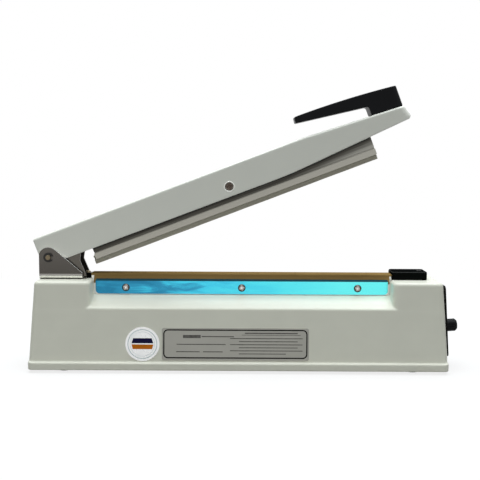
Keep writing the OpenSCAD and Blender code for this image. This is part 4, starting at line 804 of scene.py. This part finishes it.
# Pale metal rim round each sunk ring: a painted highlight of the ring's edge, which shows as a thin
# pale line all round the screw.
ring_painted_highlight = finish("pale_ring_edge_painted_highlight", "#f4f4ee", 0.3, metallic=0.6, drift=0.04, drift_mm=5)
new_piece("pivot_ring_edge", ring_mesh, "arm", [], ring_painted_highlight, ARM_FRAME)

# ---------------------------------------------------------------- handle
# One black ABS moulding, screwed down on the tip of the arm: a block with a long
# finger lever that points back over the arm.

HANDLE_END, BLOCK, LEVER = 397.8, 363.6, 287.4
LEVER_TOP, HANDLE_TOP, LEVER_LOW, ROOT = 45.9, 39.5, 39.3, 29.1
HANDLE_W, HANDLE_CORNER_R, HANDLE_EDGE_R, CURVE_STEPS = 25.0, 5.0, 0.9, 20


def outline(a, b, points):
    """Distance in the plane to a closed outline, negative inside it."""
    size = np.broadcast(a, b).shape
    near, inside = np.full(size, 1e9), np.zeros(size, bool)
    for (a0, b0), (a1, b1) in zip(points, points[1:] + points[:1]):
        da, db = a1 - a0, b1 - b0
        t = np.clip(((a - a0) * da + (b - b0) * db) / (da * da + db * db), 0, 1)
        near = np.minimum(near, np.hypot(a - a0 - t * da, b - b0 - t * db))
        if db:
            inside ^= ((b0 > b) != (b1 > b)) & (a < a0 + (b - b0) * da / db)
    return np.where(inside, -near, near)


def handle_shape(a, y, b):
    """Distance to the handle; its top falls in a shallow curve to the tip of the arm."""
    fall = (LEVER_LOW - ROOT) / (BLOCK - LEVER)
    seat = [ARM_TOP - (v - TAPER_TOP) * (ARM_TOP - TIP_TOP) / (ARM_FRONT - TAPER_TOP)
            for v in (BLOCK, HANDLE_END)]
    curve = [(LEVER + (HANDLE_END - LEVER) * k / CURVE_STEPS,
              LEVER_TOP - (LEVER_TOP - HANDLE_TOP) * (k / CURVE_STEPS) ** 2)
             for k in range(CURVE_STEPS, 0, -1)]
    side = outline(a[:, :1], b[:, :1], [
        (LEVER + 0.8, LEVER_LOW - 0.1), (BLOCK - 2.4, ROOT + 2.4 * fall), (BLOCK - 1.0, ROOT - 0.1),
        (BLOCK - 0.3, ROOT - 0.9), (BLOCK, ROOT - 2.4), (BLOCK, seat[0]), (HANDLE_END, seat[1])]
        + curve + [(LEVER + 2, LEVER_TOP - 0.1), (LEVER + 0.9, LEVER_TOP - 0.9),
                   (LEVER, LEVER_LOW + 0.7)])
    mid, half = (LEVER + HANDLE_END) / 2, (HANDLE_END - LEVER) / 2
    plan = meet(np.abs(a[:, :, :1] - mid) - half, np.abs(y[:, :, :1]) - HANDLE_W / 2,
                HANDLE_CORNER_R)
    return meet(side, plan, HANDLE_EDGE_R)


handle_mesh = moulded("handle", graded(286.4, 399, 0.9, (286.4, 290, 0.45), (358, 366, 0.6)),
                      graded(-13.2, 13.2, 1.6, (-13.2, -8.5, 0.5), (8.5, 13.2, 0.5)),
                      graded(16, 47, 0.7, (36, 47, 0.5)), handle_shape)
# Grained ABS: near black with a soft satin sheen and a mould texture of 0.5 mm.
handle_abs = finish("grained_black_abs", "#141517", 0.36, drift=0.1, grain_mm=0.5, relief=0.012,
                    specular=0.08)
new_piece("handle_moulded", handle_mesh, "arm", ["handle"], handle_abs, ARM_FRAME)
dress(plated_screw, "handle_screws")

# ---------------------------------------------------------------- press bar
# A drawn aluminium rail under the arm holds a grey silicone strip in its slot and
# swings a little on its screw to lie flat on the seal bed.

BAR_FRAME = ARM_FRAME @ Matrix.Translation(Vector((PIVOT[0], 0, PIVOT[1])) * MM)
STRIP_START, STRIP_END, STRIP_LOW, FOOT_LOW = -159.7, 154.3, -27.3, -22.2
PAD_HALF, NECK_HALF, HEAD_HALF, HEAD_RISE, HEAD_TOP = 6.0, 3.5, 5.5, 1.8, 4.0

# Drawn aluminium: the foot stays a dull light grey, while the web carries painted shade that
# darkens up towards the arm, where the gap under the arm is shaded.
bar_metal = finish("drawn_anodised_aluminium", "#a3a198", 0.4, metallic=0.75, drift=0.05,
                   drift_mm=12, stretch=(0.05, 1, 1), relief=0.008, grain_mm=0.3)
tree = bar_metal.node_tree
spot = add(tree, "TexCoord")
run = add(tree, "SeparateXYZ", {0: spot.outputs["Object"]})
arm_edge = add(tree, "MapRange", {
    "Value": run.outputs["X"], "From Min": (TAPER_LOW - PIVOT[0]) * MM, "From Max": 0.155,
    "To Min": (ARM_LOW - PIVOT[1]) * MM, "To Max": -0.0032})
below = add(tree, "Math", {0: arm_edge.outputs[0], 1: run.outputs["Z"]}, operation="SUBTRACT")
depth = add(tree, "MapRange", {"Value": below.outputs[0], "From Min": 0.0, "From Max": 0.0115})
streak_at = add(tree, "Mapping", {"Vector": spot.outputs["Object"], "Scale": (0.02, 1, 1)})
streak = add(tree, "TexNoise", {"Vector": streak_at.outputs[0], "Scale": 900.0, "Detail": 2.0})
shift = add(tree, "MapRange", {"Value": streak.outputs["Fac"], "From Min": 0.3, "From Max": 0.7,
                               "To Min": -0.1, "To Max": 0.1})
lined = add(tree, "Math", {0: depth.outputs[0], 1: shift.outputs[0]}, operation="ADD")
# Painted shade on the web, darkest next to the arm's underside.
web_painted_shade = add(tree, "ValToRGB", {"Fac": lined.outputs[0]}, stops=[
    (0.0, linear("#1d1b18")), (0.3, linear("#45433d")), (0.75, linear("#8b8a83")),
    (1.0, linear("#a09f98"))])
foot = add(tree, "MapRange", {"Value": run.outputs["Z"], "From Min": -0.0158, "From Max": -0.0156,
                              "To Min": 1.0, "To Max": 0.0})
metal_tone = add(tree, "Mix", {"Factor": foot.outputs[0], "A": web_painted_shade.outputs["Color"],
                               "B": linear("#a3a198")}, data_type="RGBA")
tree.links.new(metal_tone.outputs["Result"], tree.nodes["Principled BSDF"].inputs["Base Color"])
softened("press_bar", "press_bar_body", bar_metal, 0.4, frame_at=BAR_FRAME)


def silicone_shape(a, y, b):
    """Distance to the strip: a pad below the foot, held by a neck and head in its slot."""
    y, up = y + 0.12 * np.sin(a / 11), b - FOOT_LOW
    ends = np.maximum(STRIP_START - a, a - STRIP_END)
    low = STRIP_LOW - b + 0.05 * np.sin(a / 7)
    pad = meet(np.abs(y) - PAD_HALF, np.maximum(low, up), 0.9)
    neck = np.maximum(np.abs(y) - NECK_HALF, np.maximum(-1 - up, up - HEAD_TOP))
    head = np.maximum(np.abs(y) - HEAD_HALF, np.maximum(HEAD_RISE - up, up - HEAD_TOP))
    return meet(np.minimum(pad, np.minimum(neck, head)), ends, 0.5)


silicone_mesh = moulded("silicone_strip",
                        graded(-161, 155.6, 3, (-161, -158, 0.4), (152.6, 155.6, 0.4)),
                        graded(-6.8, 6.8, 0.45), graded(-28.2, -17.4, 0.45), silicone_shape)
# Extruded silicone: chalky grey and dull, with faint long extrusion lines.
silicone = finish("extruded_grey_silicone", "#bdb9aa", 0.5, drift=0.06, stretch=(0.1, 1, 1),
                  relief=0.02, specular=0.35)
new_piece("silicone_strip_extruded", silicone_mesh, "press_bar_body",
          ["silicone_strip"], silicone, BAR_FRAME)
# Blackened steel, worn back to brown metal in patches.
worn_steel = finish("worn_blackened_steel", "#544b44", 0.35, metallic=0.85, drift=0.25,
                    drift_mm=1.5)
softened("pivot_screw", "arm", worn_steel, 0.4)
softened("pivot_nut", "arm", black_screw, 0.3)
